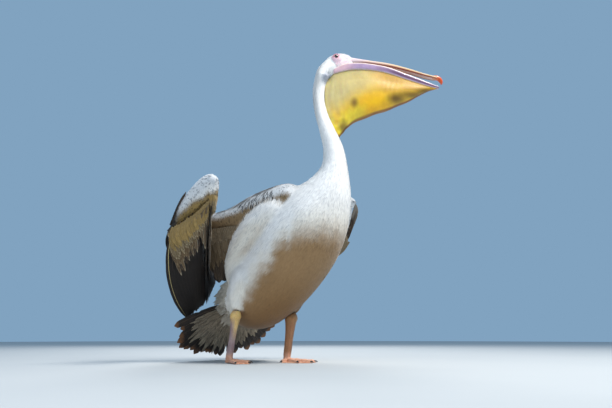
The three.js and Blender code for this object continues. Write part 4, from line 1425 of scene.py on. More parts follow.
def hung_between_jaws(own, top, bottom, half):
    """The bag's places in the head, with walls that rise to the jaw on each side."""
    u, v, w = own.T
    low = (top - w) / (top - bottom)
    jaw = through([(u, v, 0) for u, _, v, _, _ in RAMUS], 60)
    rail = np.interp(u, jaw[:, 0], jaw[:, 1])
    wall = rail + (half - rail) * smooth(0, 0.5, low)
    wide = np.where(low < 0.5, np.maximum(np.abs(v), wall), np.abs(v)) * (np.abs(v) > 0.02)
    amount = smooth(-36, -6, u)
    w = w + 6 * smooth(0.25, 0.0, low) * smooth(100, 200, u) * smooth(386, 370, u)
    return np.stack([u, np.sign(v) * (np.abs(v) * (1 - amount) + wide * amount), w], 1), low


def pouch_folds(u, w, low):
    """Faint folds run down from the jaw and gather where the bag hangs lowest."""
    gather = smooth(70, -30, u) * smooth(0.45, 0.97, low)
    loose = 0.5 + 0.5 * np.sin(u * 0.031 + 1.3)
    folds = 0.3 * np.sin(u * 0.3 + low * 4 + 2 * np.sin(low * 6 + u * 0.02))
    folds *= smooth(0.02, 0.2, low) * smooth(330, 200, u) * loose
    wrinkles = 1.5 * np.sin(u * 0.17 + w * 0.11) + 1.0 * np.sin(w * 0.24 - u * 0.12 + 2 * np.sin(u * 0.05))
    folds += gather * wrinkles
    folds += 1.2 * np.sin(u * 0.07 + 1.0) * smooth(0.9, 1.0, low) * smooth(380, 300, u)
    hollow = -3 * smooth(70, 0, np.abs(u - 205)) * smooth(0.05, 0.25, low) * smooth(0.6, 0.3, low)
    return (folds + hollow) * smooth(0.0, 0.08, low)


def pouch_tint(u, w, low):
    """Yellow skin, cream at the throat, lemon low down, a gold patch of painted glow, dark brown blotches, a
    dark lower rim, and painted shadow under the jaw and in the lowest fold.
    """
    tint = mix(POUCH_CREAM, POUCH_YELLOW, smooth(0.35, 0.75, low + 0.25 * smooth(0, 260, u)))
    tint = mix(tint, POUCH_AMBER, 0.7 * smooth(80, 190, u) * smooth(0.75, 0.1, low))
    # Painted glow: a gold patch low in the middle of the bag, where light shines through the skin.
    tint = mix(tint, POUCH_GLOW_GOLD, smooth(80, 14, np.hypot((u - 138) * 0.8, (w + 208) * 1.3)))
    lemon = smooth(0.66, 0.86, low + 0.03 * np.sin(u * 0.2)) * smooth(125, 60, u)
    tint = mix(tint, POUCH_LEMON, 0.85 * lemon)
    tint = mix(tint, POUCH_CREAM, 0.7 * smooth(-22, -46, u + 0.12 * (w + 200)) * smooth(1.0, 0.6, low))
    # Dark brown blotches on each side of the bag.
    for at_u, at_w, ahead, down, strength in POUCH_BLOTCHES:
        away = np.hypot((u - at_u) / ahead, (w - at_w) / down)
        tint = mix(tint, POUCH_DARK_BROWN, strength * smooth(1.5, 0.1, away))
    # A dark line along the lower rim.
    tint = mix(tint, POUCH_RIM_AND_JAW_SHADOW, 0.9 * smooth(0.95, 0.99, low) * smooth(-40, 0, u))
    # Painted shadow: a dark band along the top of the bag, under the jaw.
    tint = mix(tint, POUCH_RIM_AND_JAW_SHADOW, 0.5 * smooth(0.045, 0.0, low))
    # Painted shade: a dark brown patch in the fold where the bag hangs lowest.
    return mix(tint, POUCH_DARK_BROWN, 0.75 * smooth(26, 4, np.hypot(u - 14, (w + 285) * 0.7)))


def make_pouch():
    pouch = drawn_out("throat_pouch", profile(POUCH, 34).tolist(), bag_section, HEAD_PLACE, 48, 2)
    own = own_places(pouch)
    fine = through(POUCH, 80)
    top, bottom, half = (np.interp(own[:, 0], fine[:, 0], fine[:, k]) for k in (1, 2, 3))
    own, low = hung_between_jaws(own, top, bottom, half)  # low is 0 at the jaw, 1 at the lower rim
    move_points(pouch, in_head(own))
    u, _, w = own.T
    move_points(pouch, plan_points(pouch) + normals_of(pouch) * pouch_folds(u, w, low)[:, None])
    give(pouch, "tint", "FLOAT_COLOR", pouch_tint(u, w, low))
    finish_piece(pouch, pouch_material(), "skin_pouch", "pouch")


# Eyelids: radius past the opening of the eye, thickness, how far out they lie, stretch along the face.
LIDS = [(0.9, 1.35, 5.5, 1.1), (3.6, 1.2, 4.6, 1.14)]


def make_eyes():
    for side, name in SIDE_NAMES.items():
        # The pole looks outwards along the eye's axis.
        turned = Matrix.Rotation(-side * math.pi / 2, 4, "X")
        bpy.ops.mesh.primitive_uv_sphere_add(segments=48, ring_count=32, radius=EYE_RADIUS)
        ball = bpy.context.object
        ball.name = ball.data.name = f"eyeball_{name}"
        ball.data.transform(turned)
        keep_own_place(ball, EYE_RADIUS)
        ball.data.transform(PLAN_TO_FRAME @ HEAD_PLACE @ Matrix.Translation((0, side * EYE_OUT, 0)))
        ball.data.shade_smooth()
        finish_piece(ball, eye_material(), "eye", f"eye_{name}")
        lids = []
        for wider, thick, out, stretch in LIDS:
            bpy.ops.mesh.primitive_torus_add(
                major_radius=EYE_OPENING + wider, minor_radius=thick, major_segments=56, minor_segments=14,
            )
            lid = bpy.context.object
            lid.data.transform(Matrix.Diagonal((stretch, 1, 0.97, 1)) @ turned)
            lid.data.transform(Matrix.Translation((0.3, side * (EYE_OUT + out), 0)))
            lids.append(lid)
        lid = joined(lids)
        lid.name = lid.data.name = f"eyelids_{name}"
        lid.data.transform(PLAN_TO_FRAME @ HEAD_PLACE)
        amount = np.full(len(lid.data.vertices), 0.5)
        give(lid, "tint", "FLOAT_COLOR", mix(FACE_PINK, FACE_RIM, amount))
        lid.data.shade_smooth()
        finish_piece(lid, face_material(), "feathers_white")


# ---- Legs, webs and claws ----

ANKLES = {RIGHT: (-140, -5, 184), LEFT: (61, -113, 178)}
KNOB_YELLOW = rgb("#ffd684")
LEG_ORANGE = rgb("#c67f42")
WEB_SALMON = rgb("#e6a988")
WEB_DEEP = rgb("#c77a4e")
WEB_PALE = rgb("#f0c4a8")
SOLE_GREY = rgb("#8d6f5f")
# Each leg's shaft, the lit colour painted on its front and how strong that painted light is, and how yellow
# its ankle is; both are strong on the right leg and faint on the left, partly painted light.
LEG_TINTS = {
    RIGHT: (rgb("#ab9190"), KNOB_YELLOW, 0.9, 0.95),
    LEFT: (rgb("#94745b"), LEG_ORANGE, 0.15, 0.15),
}
TOE_KNUCKLES = (0.36, 0.62, 0.84)  # shares of a toe's length
SCUTE_HEIGHT = 7.5
TOE_RING_LENGTH = 4.6


def toe_line(side, toe):
    (x, y), heading = FEET[side]
    angle, length = TOES[toe]
    turned = math.radians(heading - side * angle)
    return vec(x, y), vec(math.cos(turned), math.sin(turned)), length


def copied(names):
    """One object from copies of CAD nodes, with their doubles merged."""
    copies = []
    for name in names:
        copy = bpy.data.objects.new(f"copy_of_{name}", frame["nodes"][name].data.copy())
        bpy.context.collection.objects.link(copy)
        copies.append(copy)
    made = joined(copies)
    face_outwards(made, merge=1e-5)
    made.data.materials.clear()
    return made


def fused_leg(name):
    """Shank and foot as one smooth skin, standing flat on the floor."""
    leg = copied([f"shank_{name}", f"foot_{name}"])
    leg.name = leg.data.name = f"leg_{name}"
    # Swollen a little so that the two pieces fuse.
    points = plan_points(leg)
    lifted = points + normals_of(leg) * 0.5
    lifted[:, 2] = np.where(points[:, 2] < 0.6, points[:, 2], lifted[:, 2])
    move_points(leg, lifted)
    remeshed(leg, LEG_VOXEL)
    keep_largest(leg)
    points = plan_points(leg)
    edges, counts = edges_of(leg)
    for _ in range(9):
        moved = points + (neighbours_mean(points, edges, counts) - points) * 0.5
        points = np.where(points[:, 2:] < 1.2, points, moved)
    move_points(leg, points)
    return leg, points


def shaft_relief(from_ankle, z, front, side_on, off_middle):
    """The ankle's two knuckles, a slight waist, the grooves of the shaft and the scutes down its front."""
    above = from_ankle[:, 2]
    knuckle = 4.2 * bell(above, 15) * (0.45 + 0.55 * side_on)
    knuckle += 2.5 * bell(above + 6, 9) * smooth(0.2, 0.9, front)
    waist = -1.8 * bell(z - 105, 42) * side_on
    groove = bell(off_middle, 4.0) * smooth(60, 80, z) * smooth(165, 145, z)
    groove *= smooth(0.3, 0.8, np.abs(front))
    scutes = np.abs(np.sin(z * math.pi / SCUTE_HEIGHT)) ** 0.5 * smooth(0.35, 0.8, front)
    return knuckle + waist - 1.5 * groove + 0.45 * scutes * smooth(172, 160, z)


def foot_relief(points, side):
    """Toes with knuckles and ringed scales stand above a web with folds that fan from the heel.
    Gives the height, how far each point is on a toe and on the web, and its angle and reach."""
    relief = np.zeros(len(points))
    on_toe = np.zeros(len(points))
    for toe in TOES:
        start, way, length = toe_line(side, toe)
        off = points[:, :2] - start
        down, aside = off @ way, off @ vec(-way[1], way[0])
        near = smooth(9, 3, np.abs(aside)) * smooth(-8, 4, down) * smooth(length + 4, length - 4, down)
        on_toe = np.maximum(on_toe, near)
        knuckles = sum(bell(down / length - k, 0.06) for k in TOE_KNUCKLES)
        relief += near * (1.5 * knuckles + 0.35 * np.abs(np.sin(down * math.pi / TOE_RING_LENGTH)) ** 0.5)
    off = points[:, :2] - vec(*FEET[side][0])
    angle, reach = np.arctan2(off[:, 1], off[:, 0]), np.hypot(*off.T)
    web = (1 - on_toe) * smooth(14, 40, reach)
    folds = 0.8 * np.sin(angle * 34 + 0.03 * reach)
    relief += web * (folds + 0.5 * np.sin(reach * 0.33 + 3 * np.sin(angle * 9)))
    return relief, on_toe, web, angle, reach


def make_leg(side):
    name = SIDE_NAMES[side]
    leg, points = fused_leg(name)
    normals = normals_of(leg)
    z = points[:, 2]
    from_ankle = points - vec(*ANKLES[side])
    heading = math.radians(FEET[side][1])
    ahead = vec(math.cos(heading), math.sin(heading), 0)
    across = vec(-ahead[1], ahead[0], 0)
    front, aside = normals @ ahead, normals @ across
    leg_part = smooth(26, 44, z)
    flat = 1 - leg_part
    raised = shaft_relief(from_ankle, z, front, np.abs(aside), from_ankle @ across)
    moved = points + normals * (raised * leg_part)[:, None]
    relief, on_toe, web, angle, reach = foot_relief(points, side)
    top = smooth(0.2, 0.6, normals[:, 2]) * flat * smooth(1.4, 2.4, z)
    moved[:, 2] += top * relief
    moved[:, 2] += top * web * 2.2 * smooth(60, 105, reach) * np.sin(angle * 11) ** 2
    move_points(leg, moved)
    # Colours: yellow ankle, mauve or tan shaft with a warm edge and a painted lit front, salmon web paler on
    # its folds.
    shade, lit, light, yellow = LEG_TINTS[side]
    shaft = mix(shade, LEG_ORANGE, 0.5 * smooth(0.25, 0.95, -side * aside))
    # Painted light: the forward-facing side of the upper shaft takes the lit colour.
    shaft = mix(shaft, lit, light * smooth(0.0, 0.75, front) * smooth(70, 160, z))
    shaft = mix(shaft, KNOB_YELLOW, yellow * bell(from_ankle[:, 2], 22))
    skin = mix(WEB_SALMON, WEB_DEEP, 0.75 * smooth(55, 120, reach) * (1 - on_toe))
    skin = mix(skin, WEB_PALE, 0.75 * smooth(0.1, 0.9, relief * web))
    skin = mix(skin, WEB_PALE, 0.4 * on_toe)
    skin = mix(skin, SOLE_GREY, smooth(-0.2, -0.8, normals[:, 2]) * flat)
    give(leg, "tint", "FLOAT_COLOR", mix(skin, shaft, smooth(20, 48, z)))
    leg.data.shade_smooth()
    finish_piece(leg, leg_material(), "skin_leg", f"shank_{name}", f"foot_{name}")


CLAW = [
    (-2, 0, 0.4, 3.9, 3.6), (3, 0, 1.0, 3.9, 3.7), (8, 0, 0.6, 3.0, 2.9), (12.5, 0, -1.2, 1.8, 1.9),
    (CLAW_LENGTH, 0, -3.6, 0.5, 0.6),
]
CLAW_START = 0.93  # of the toe's length
CLAW_HEIGHT = 6


def make_claws(side):
    name = SIDE_NAMES[side]
    stations = through(CLAW, 12).tolist()
    for toe in TOES:
        start, way, length = toe_line(side, toe)
        root = start + way * length * CLAW_START
        turned = Matrix.Rotation(math.atan2(way[1], way[0]), 4, "Z")
        place = Matrix.Translation((*root, CLAW_HEIGHT)) @ turned
        claw = drawn_out(f"claw_{name}_{toe}_horn", stations, claw_section, place, 16)
        finish_piece(claw, claw_material(), "horn_claw", f"claw_{name}_{toe}")


# ---- Materials ----

class Nodes:
    """A node tree, with a short way to add each kind of node that the finishes use."""

    def __init__(self, tree):
        self.tree = tree

    def feed(self, socket, value):
        """Links a socket, or sets it to a number or a colour."""
        if isinstance(value, bpy.types.NodeSocket):
            self.tree.links.new(value, socket)
        else:
            socket.default_value = (*value, 1) if isinstance(value, np.ndarray) else value

    def put(self, kind, inputs, **settings):
        node = self.tree.nodes.new("ShaderNode" + kind)
        for key, value in settings.items():
            setattr(node, key, value)
        for key, value in inputs.items():
            self.feed(node.inputs[key], value)
        return node

    def maths(self, operation, a, b=0.0):
        return self.put("Math", {0: a, 1: b}, operation=operation).outputs[0]

    def times(self, a, b):
        return self.maths("MULTIPLY", a, b)

    def plus(self, a, b):
        return self.maths("ADD", a, b)

    def minus(self, a, b):
        return self.maths("SUBTRACT", a, b)

    def mixed(self, amount, a, b, kind="MIX"):
        return self.put("Mix", {0: amount, 6: a, 7: b}, data_type="RGBA", blend_type=kind).outputs[2]

    def tinted(self, amount, a, b):
        return self.mixed(amount, a, b, "MULTIPLY")

    def ramp(self, factor, *stops):
        """A colour ramp; each stop is a place and a grey level."""
        node = self.put("ValToRGB", {"Fac": factor})
        for element, (place, level) in zip(node.color_ramp.elements, stops):
            element.position = place
            element.color = (level, level, level, 1)
        return node.outputs["Color"]

    def attribute(self, name, output="Color"):
        return self.put("Attribute", {}, attribute_name=name).outputs[output]

    def own_place(self):
        return self.attribute("own_place", "Vector")

    def frame_place(self):
        return self.put("TexCoord", {}).outputs["Object"]

    def split(self, place):
        return self.put("SeparateXYZ", {0: place}).outputs

    def stretched(self, place, scale):
        return self.put("Mapping", {"Vector": place, "Scale": scale}).outputs[0]

    def noise(self, place, scale, detail, output=0):
        return self.put("TexNoise", {"Vector": place, "Scale": scale, "Detail": detail}).outputs[output]

    def cells(self, place, scale):
        """0 on the lines between irregular cells, rising inside them."""
        inputs = {"Vector": place, "Scale": scale}
        return self.put("TexVoronoi", inputs, feature="DISTANCE_TO_EDGE").outputs[0]

    def mottle(self, scale, grain):
        return self.put("Group", {"Scale": scale, "Grain": grain}, node_tree=mottle_group()).outputs


class Finish(Nodes):
    """A new material; values are set on the shader's own sockets."""

    def __init__(self, name, **values):
        self.material = bpy.data.materials.new(name)
        self.material.use_nodes = True
        super().__init__(self.material.node_tree)
        self.shader = self.tree.nodes["Principled BSDF"]
        for key, value in values.items():
            self.shader.inputs[key.replace("_", " ")].default_value = value

    def done(self, colour, height=None, strength=0.0, distance=0.0):
        self.feed(self.shader.inputs["Base Color"], colour)
        if height is not None:
            bump = self.put("Bump", {"Height": height, "Strength": strength, "Distance": distance})
            self.feed(self.shader.inputs["Normal"], bump.outputs[0])
        return self.material


def group(name, inputs, outputs, build):
    """A node group of numbers; an input is a name with its default, or with "vector" for a place."""
    tree = bpy.data.node_groups.new(name, "ShaderNodeTree")
    for key, default in inputs.items():
        kind = "NodeSocketVector" if default == "vector" else "NodeSocketFloat"
        socket = tree.interface.new_socket(name=key, in_out="INPUT", socket_type=kind)
        if default != "vector":
            socket.default_value = default
    for key in outputs:
        tree.interface.new_socket(name=key, in_out="OUTPUT", socket_type="NodeSocketFloat")
    given = tree.nodes.new("NodeGroupInput").outputs
    leave = tree.nodes.new("NodeGroupOutput").inputs
    for key, socket in zip(outputs, build(Nodes(tree), given)):
        tree.links.new(socket, leave[key])
    return tree


@cache
def barbs_group():
    """A vane's look from its own map: slanting barbs, a shaft line and a root darkened with painted shade.
    """
    def build(on, given):
        split = on.split(given["Map"])
        from_shaft = on.maths("ABSOLUTE", on.minus(split[0], 0.5))
        slant = on.minus(split[1], on.times(from_shaft, given["Slant"]))
        slant = on.plus(slant, on.times(on.noise(given["Map"], 9.0, 2.0), 0.05))
        wave = on.maths("SINE", on.times(slant, given["Barbs"]))
        barb = on.plus(on.times(wave, 0.5), 0.5)
        shaft = on.ramp(from_shaft, (0.0, 1.0), (0.05, 0.0))
        # Painted shade: each vane darkens towards its root, where the feathers over it would shade it.
        root = on.ramp(split[1], (0.0, 0.0), (0.65, 1.0))
        shade = on.times(on.minus(1.0, root), given["Root shade"])
        shade = on.plus(shade, on.times(barb, given["Barb shade"]))
        return shade, on.plus(on.times(barb, 0.5), shaft)

    inputs = {"Map": "vector", "Barbs": 120.0, "Slant": 0.6, "Root shade": 0.3, "Barb shade": 0.1}
    return group("barbs", inputs, ("Shade", "Height"), build)


@cache
def mottle_group():
    """Soft patches of tone and a fine grain, from places in the frame."""
    def build(on, given):
        place = on.frame_place()
        patches = on.ramp(on.noise(place, given["Scale"], 5.0), (0.32, 0.0), (0.68, 1.0))
        return patches, on.noise(place, given["Grain"], 3.0)

    return group("mottle", {"Scale": 12.0, "Grain": 300.0}, ("Patches", "Grain"), build)


def vane_surface(name, barbs, slant, root_shade, barb_shade, bump, rough, sheen, shade_to):
    on = Finish(
        name, Roughness=rough, Sheen_Weight=sheen, Sheen_Roughness=0.5, Specular_IOR_Level=0.25,
    )
    look = on.put("Group", {
        "Map": on.put("UVMap", {}, uv_map="vane").outputs[0], "Barbs": barbs, "Slant": slant,
        "Root shade": root_shade, "Barb shade": barb_shade,
    }, node_tree=barbs_group()).outputs
    colour = on.tinted(look["Shade"], on.attribute("tint"), shade_to)
    patches = on.mottle(14.0, 260.0)["Patches"]
    colour = on.tinted(on.times(patches, 0.12), colour, rgb("#b9b2a8"))
    return on.done(colour, look["Height"], bump, 0.0006)


@cache
def plumage_material():
    return vane_surface("plumage", 46.0, 0.9, 0.14, 0.05, 0.3, 0.75, 0.25, rgb("#aaa49c"))


@cache
def flight_material():
    return vane_surface("flight vanes", 420.0, 0.7, 0.1, 0.22, 0.5, 0.55, 0.1, rgb("#8a8078"))


@cache
def covert_material():
    """Softer than the flight feathers, with wider barbs."""
    return vane_surface("covert vanes", 150.0, 0.8, 0.1, 0.16, 0.45, 0.75, 0.2, rgb("#948a7e"))


def down_material():
    """The skin under the coat, coloured as the feathers over it."""
    on = Finish("down", Roughness=0.9)
    tone = on.mottle(60.0, 500.0)
    colour = on.tinted(on.times(tone["Patches"], 0.3), on.attribute("tint"), rgb("#a8a29a"))
    return on.done(colour, tone["Grain"], 0.6, 0.001)


@cache
def face_material():
    """Bare skin of the face: mauve pink, finely creased, with small pores."""
    on = Finish("face skin", Roughness=0.5, Subsurface_Weight=0.15, Subsurface_Scale=0.004)
    patches = on.mottle(70.0, 900.0)["Patches"]
    colour = on.tinted(on.times(patches, 0.5), on.attribute("tint"), rgb("#e6cdd4"))
    crease = on.ramp(on.cells(on.frame_place(), 620.0), (0.0, 0.0), (0.12, 1.0))
    colour = on.tinted(on.times(on.minus(1.0, crease), 0.35), colour, rgb("#a9828c"))
    return on.done(colour, crease, 0.35, 0.0005)


def bill_material():
    """Upper bill: mauve pink above, yellow streaks along the sides, red brown at the cutting edge."""
    on = Finish("upper bill horn", Roughness=0.36, Coat_Weight=0.15, Coat_Roughness=0.3)
    own = on.own_place()
    ahead, aside, _ = on.split(own)
    along = on.maths("DIVIDE", ahead, 400.0)
    across = on.maths("DIVIDE", on.maths("ABSOLUTE", aside), 20.0)
    long_way = on.stretched(own, (0.012, 0.16, 0.16))
    streak = on.noise(long_way, 2.2, 6.0)
    fine = on.noise(long_way, 11.0, 4.0)
    colour = on.mixed(on.ramp(streak, (0.42, 0.0), (0.62, 0.7)), rgb("#e9cdd6"), rgb("#ead6bd"))
    yellow = on.times(on.ramp(along, (0.25, 0.0), (0.7, 1.0)), on.ramp(across, (0.3, 0.0), (0.62, 0.8)))
    colour = on.mixed(on.times(yellow, on.plus(streak, 0.25)), colour, rgb("#e8c152"))
    root = on.ramp(along, (0.14, 1.0), (0.3, 0.0))
    colour = on.mixed(on.times(root, 0.85), colour, FACE_PALE)
    colour = on.mixed(on.attribute("edge", "Fac"), colour, rgb("#9a3f2a"))
    colour = on.tinted(on.times(fine, 0.3), colour, rgb("#b08f8c"))
    return on.done(colour, fine, 0.3, 0.0008)


class Grown(Finish):
    """Horn or skin coloured by its own tint, with patches of tone and a grain."""

    def __init__(self, name, scale, **values):
        super().__init__(name, **values)
        self.tone = self.mottle(scale, scale * 14)
        patches = self.times(self.tone["Patches"], 0.35)
        self.colour = self.tinted(patches, self.attribute("tint"), rgb("#bfa8a0"))


def jaw_material():
    on = Grown("lower jaw horn", 50.0, Roughness=0.4, Coat_Weight=0.15)
    return on.done(on.colour, on.tone["Grain"], 0.25, 0.0006)


def nail_material():
    """The hook at the bill's tip: orange red, yellower where it joins."""
    on = Finish("nail horn", Roughness=0.3, Coat_Weight=0.3, Coat_Roughness=0.2)
    ahead = on.split(on.own_place())[0]
    tone = on.mottle(120.0, 900.0)
    back = on.ramp(on.maths("DIVIDE", on.minus(ahead, 370.0), 40.0), (0.0, 1.0), (0.75, 0.0))
    colour = on.mixed(back, rgb("#d9541b"), rgb("#e4b58a"))
    colour = on.tinted(on.times(tone["Patches"], 0.3), colour, rgb("#c07a50"))
    return on.done(colour, tone["Grain"], 0.2, 0.0005)


def pouch_material():
    """Thin stretched skin: it glows where light comes through, with fine branching veins."""
    on = Grown(
        "pouch skin", 22.0, Roughness=0.42, Coat_Weight=0.12, Subsurface_Weight=0.6,
        Subsurface_Scale=0.03, Subsurface_Radius=(1.0, 0.55, 0.12),
    )
    own = on.own_place()
    bent = on.noise(own, 0.03, 3.0, "Color")
    warped = on.mixed(0.35, on.stretched(own, (0.045, 0.045, 0.022)), bent, "LINEAR_LIGHT")
    vein = on.ramp(on.cells(warped, 2.4), (0.0, 1.0), (0.035, 0.0))
    colour = on.tinted(on.times(vein, 0.1), on.colour, rgb("#b0652a"))
    crease = on.noise(on.stretched(own, (0.5, 0.1, 0.05)), 1.0, 4.0)
    return on.done(colour, on.plus(crease, on.times(vein, 0.15)), 0.35, 0.0012)


@cache
def leg_material():
    """Scaled skin: small polygonal scales, darker in the lines between them."""
    on = Grown("leg skin", 40.0, Roughness=0.5, Subsurface_Weight=0.08, Subsurface_Scale=0.004)
    gap = on.ramp(on.cells(on.frame_place(), 330.0), (0.0, 0.0), (0.14, 1.0))
    colour = on.tinted(on.times(on.minus(1.0, gap), 0.5), on.colour, rgb("#8a5f4a"))
    return on.done(colour, gap, 0.5, 0.0007)


@cache
def claw_material():
    on = Finish("claw horn", Roughness=0.32, Coat_Weight=0.2)
    ahead = on.split(on.own_place())[0]
    tone = on.mottle(150.0, 1200.0)
    base = on.ramp(on.maths("DIVIDE", ahead, float(CLAW_LENGTH)), (0.0, 1.0), (0.45, 0.0))
    colour = on.mixed(on.times(base, 0.6), rgb("#2a211d"), rgb("#8d7461"))
    colour = on.tinted(on.times(tone["Patches"], 0.4), colour, rgb("#9a8576"))
    return on.done(colour, tone["Grain"], 0.2, 0.0003)


@cache
def eye_material():
    """A wet dark eye: black pupil, a dark red brown iris with fine rays."""
    on = Finish("eye", Roughness=0.06, Coat_Weight=1.0, Coat_Roughness=0.02)
    own = on.own_place()
    across, _, upward = on.split(own)
    flat = on.put("CombineXYZ", {0: across, 2: upward}).outputs[0]
    radius = on.put("VectorMath", {0: flat}, operation="LENGTH").outputs["Value"]
    iris = on.mixed(on.noise(own, 14.0, 4.0), rgb("#24110b"), rgb("#40200f"))
    colour = on.mixed(on.ramp(radius, (0.36, 1.0), (0.4, 0.0)), iris, rgb("#060404"))
    colour = on.mixed(on.ramp(radius, (0.66, 0.0), (0.76, 1.0)), colour, rgb("#140d0b"))
    return on.done(colour)


# ---- Camera, floor and light ----

CAMERA_PLACE = (-1.74829, -1.85188, 0.11)
CAMERA_AZIMUTH = -45
CAMERA_PITCH = 11.45
CAMERA_LENS = 37.94
CAMERA_SENSOR = 36
FLOOR_RADIUS = 9
SKY = rgb("#8fb4d4")
SKY_STRENGTH = 0.8
LIGHTS_AIM = (0, 0, 0.6)
# Each light: place, size, power and tint.
LIGHTS = {
    "key": ((0.6, -2.6, 3.8), 1.1, 230, (1.0, 0.97, 0.92)),
    "fill": ((-3.2, -0.8, 1.8), 2.6, 42, (0.95, 0.97, 1.0)),
    "back": ((2.2, 2.6, 2.6), 1.6, 80, (1.0, 0.98, 0.95)),
}


def make_camera():
    camera = bpy.data.objects.new("camera", bpy.data.cameras.new("camera"))
    camera.data.lens = CAMERA_LENS
    camera.data.sensor_width = CAMERA_SENSOR
    turn, pitch = math.radians(-CAMERA_AZIMUTH), math.radians(CAMERA_PITCH)
    ahead = Vector((math.sin(turn) * math.cos(pitch), math.cos(turn) * math.cos(pitch), math.sin(pitch)))
    camera.location = CAMERA_PLACE
    camera.rotation_euler = ahead.to_track_quat("-Z", "Y").to_euler()
    bpy.context.collection.objects.link(camera)
    bpy.context.scene.camera = camera


def make_floor():
    bpy.ops.mesh.primitive_circle_add(vertices=96, radius=FLOOR_RADIUS, fill_type="NGON")
    floor = bpy.context.object
    floor.name = "floor"
    on = Finish("floor", Roughness=0.85)
    patches = on.mottle(1.5, 60.0)["Patches"]
    floor.data.materials.append(on.done(on.mixed(on.times(patches, 0.3), rgb("#b9bcbd"), rgb("#b0b4b6"))))


def make_light(name, place, size, power, tint):
    light = bpy.data.objects.new(name, bpy.data.lights.new(name, "AREA"))
    light.data.size = size
    light.data.energy = power
    light.data.color = tint
    light.location = place
    light.rotation_euler = (Vector(LIGHTS_AIM) - Vector(place)).to_track_quat("-Z", "Y").to_euler()
    bpy.context.collection.objects.link(light)


def make_studio():
    world = bpy.data.worlds.new("studio")
    world.use_nodes = True
    back = world.node_tree.nodes["Background"]
    back.inputs["Color"].default_value = (*SKY, 1)
    back.inputs["Strength"].default_value = SKY_STRENGTH
    bpy.context.scene.world = world
    for name, light in LIGHTS.items():
        make_light(name, *light)
    bpy.context.scene.view_settings.view_transform = "Standard"


# ---- Assembly ----

FLESH = ["head", "neck_upper", "neck_lower", "breast", "abdomen", "tail_coverts"]
ARM_PARTS = ("upper_arm", "forearm", "hand")
FLESH += [f"thigh_{name}" for name in SIDE_NAMES.values()]
FLESH += [f"wing_{name}_{part}" for name in SIDE_NAMES.values() for part in ARM_PARTS]


def finish_skin(skin, coat):
    """The skin's own colours, its bare face as a second material."""
    give(skin, "tint", "FLOAT_COLOR", mix(coat.tint, face_tint(coat.points), smooth(0.35, 0.65, coat.bare)))
    finish_piece(skin, down_material(), "feathers_white", *FLESH)
    skin.data.materials.append(face_material())
    bare = coat.bare > 0.5
    for polygon in skin.data.polygons:
        polygon.material_index = int(all(bare[i] for i in polygon.vertices))


LOWER_TRUNK = 430  # the height where the breast's feathers give way to the belly's
MIDDLE_LAP = 4  # how far the feathers of each side are planted past the middle
HALVED = ("breast", "belly", "wings")
COAT_SLOTS = {
    "belly": "feathers_belly", "wings": "feathers_coverts", "rump": "feathers_coverts",
    "scapulars": "feathers_coverts",
}
# Feathers that are tinged with another colour, and how often.
COAT_OTHERS = {
    "scapulars": (BLACK_BROWN, 0.6), "breast": (rgb("#e6e7e9"), 0.2),
    "rump": (PALE_GREY, 0.2), "wings": (rgb("#a9acb0"), 0.14),
}


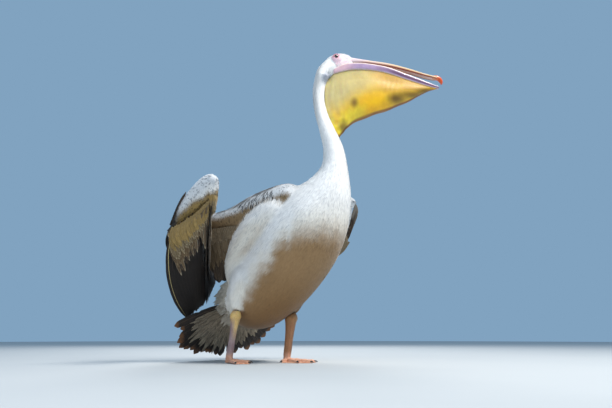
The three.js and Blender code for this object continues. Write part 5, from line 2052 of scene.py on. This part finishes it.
def coat_regions(coat):
    """For each region: the skin it covers, the gap between feathers, their length, width and lift in
    millimetres, and their shape of vane."""
    form, s, normals = coat.form, coat.s, coat.normals
    x, y, z = coat.points.T
    covered = coat.bare < 0.45
    u = head_of(coat.points)[:, 0]
    from_head = np.linalg.norm(coat.points - np.array(HEAD_MIDDLE), axis=1)
    inside_bill = (u > 50) & (from_head < 120)
    neck = form_is(form, "trunk") & (s > NECK_START) | form_is(form, "nape")
    head = form_is(form, "skull") & ~inside_bill
    trunk = form_is(form, "trunk", "flank") & ~neck
    lower = z < LOWER_TRUNK
    chordwise = (1 - np.cos(2 * math.pi * coat.t)) / 2
    small = smooth(0.2, 0.6, chordwise)
    down_neck = smooth(0.98, NECK_START, s) * form_is(form, "trunk")
    # The nape is shaggy, and plumes stand out along the edge of the belly and over the thighs.
    behind = smooth(0.1, 0.7, -(normals @ HEAD_AXES[:, 0]) / HEAD_SCALE) * smooth(930, 1040, z)
    plumes = smooth(0.45, 0.0, np.abs(normals[:, 2] + 0.08)) * smooth(60, 100, np.abs(x))
    plumes *= (z < 560) * smooth(-330, -200, y)
    below = under_side(normals, form)
    shoulders = form_is(form, "upper") & (s > 0.2) & (s < 0.8)
    shoulders &= (below < 0.5) | (chordwise < 0.16) & (s > 0.36) & (s < 0.62)
    neck_gap, neck_width = 2.3 + 1.3 * down_neck, 2.9 + 1.8 * down_neck
    neck_length, neck_lift = 12 + 9 * down_neck + 9 * behind, 0.25 + 0.8 * down_neck + 3.4 * behind
    thigh_lift = 2 + 2.6 * smooth(240, 205, z)
    arm = form_is(form, "upper", "forearm", "hand")
    return {
        "head": (head & covered, 1.9, 7, 2.1, 0.6, "small"),
        "neck": (neck & covered, neck_gap, neck_length, neck_width, neck_lift, "lance"),
        "breast": (trunk & ~lower, 5.1, 27 + 7 * plumes, 7.4, 1.3 + 2.6 * plumes, "lance"),
        "belly": (trunk & lower, 5.3, 28 + 9 * plumes, 8, 1.3 + 3.4 * plumes, "lance"),
        "thighs": (form_is(form, "thigh"), 4.8, 28, 7, thigh_lift, "lance"),
        "wings": (arm, 4.6 + 4.2 * small, 13 + 25 * small, 7.2 + 5 * small, 1.2 + 1.4 * small, "round"),
        "rump": (form_is(form, "tail"), 7, 42, 11, 2.2, "lance"),
        "scapulars": (shoulders, 8, 60 - 30 * below, 10 - 3 * below, 4.5 - 2 * below, "lance"),
    }


def plant_coat(coat, rng):
    """The small feathers, region by region, the largest regions in two halves."""
    x = coat.points[:, 0]
    halves = (("_r", x < MIDDLE_LAP), ("_l", x > -MIDDLE_LAP))
    for name, (wanted, *sizes, vane) in coat_regions(coat).items():
        sizes = [size * np.ones(len(x)) for size in sizes]
        other, often = COAT_OTHERS.get(name, (None, 0))
        for end, chosen in halves if name in HALVED else (("", True),):
            made = plant(f"coat_{name}{end}", coat, wanted & chosen, *sizes, vane, rng, other, often)
            finish_piece(made, plumage_material(), COAT_SLOTS.get(name, "feathers_white"))


make_camera()
make_floor()
make_studio()
rng = np.random.default_rng(SEED)
skin = make_skin()
located = sculpt_skin(skin)
coat = Coat(skin, located)
finish_skin(skin, coat)
plant_coat(coat, rng)
for side in SIDE_NAMES:
    make_flight_feathers(side, rng)
    make_plumes(side, rng)
    make_leg(side)
    make_claws(side)
make_tail(rng)
make_upper_bill()
make_nail()
make_lower_jaw()
make_pouch()
make_eyes()
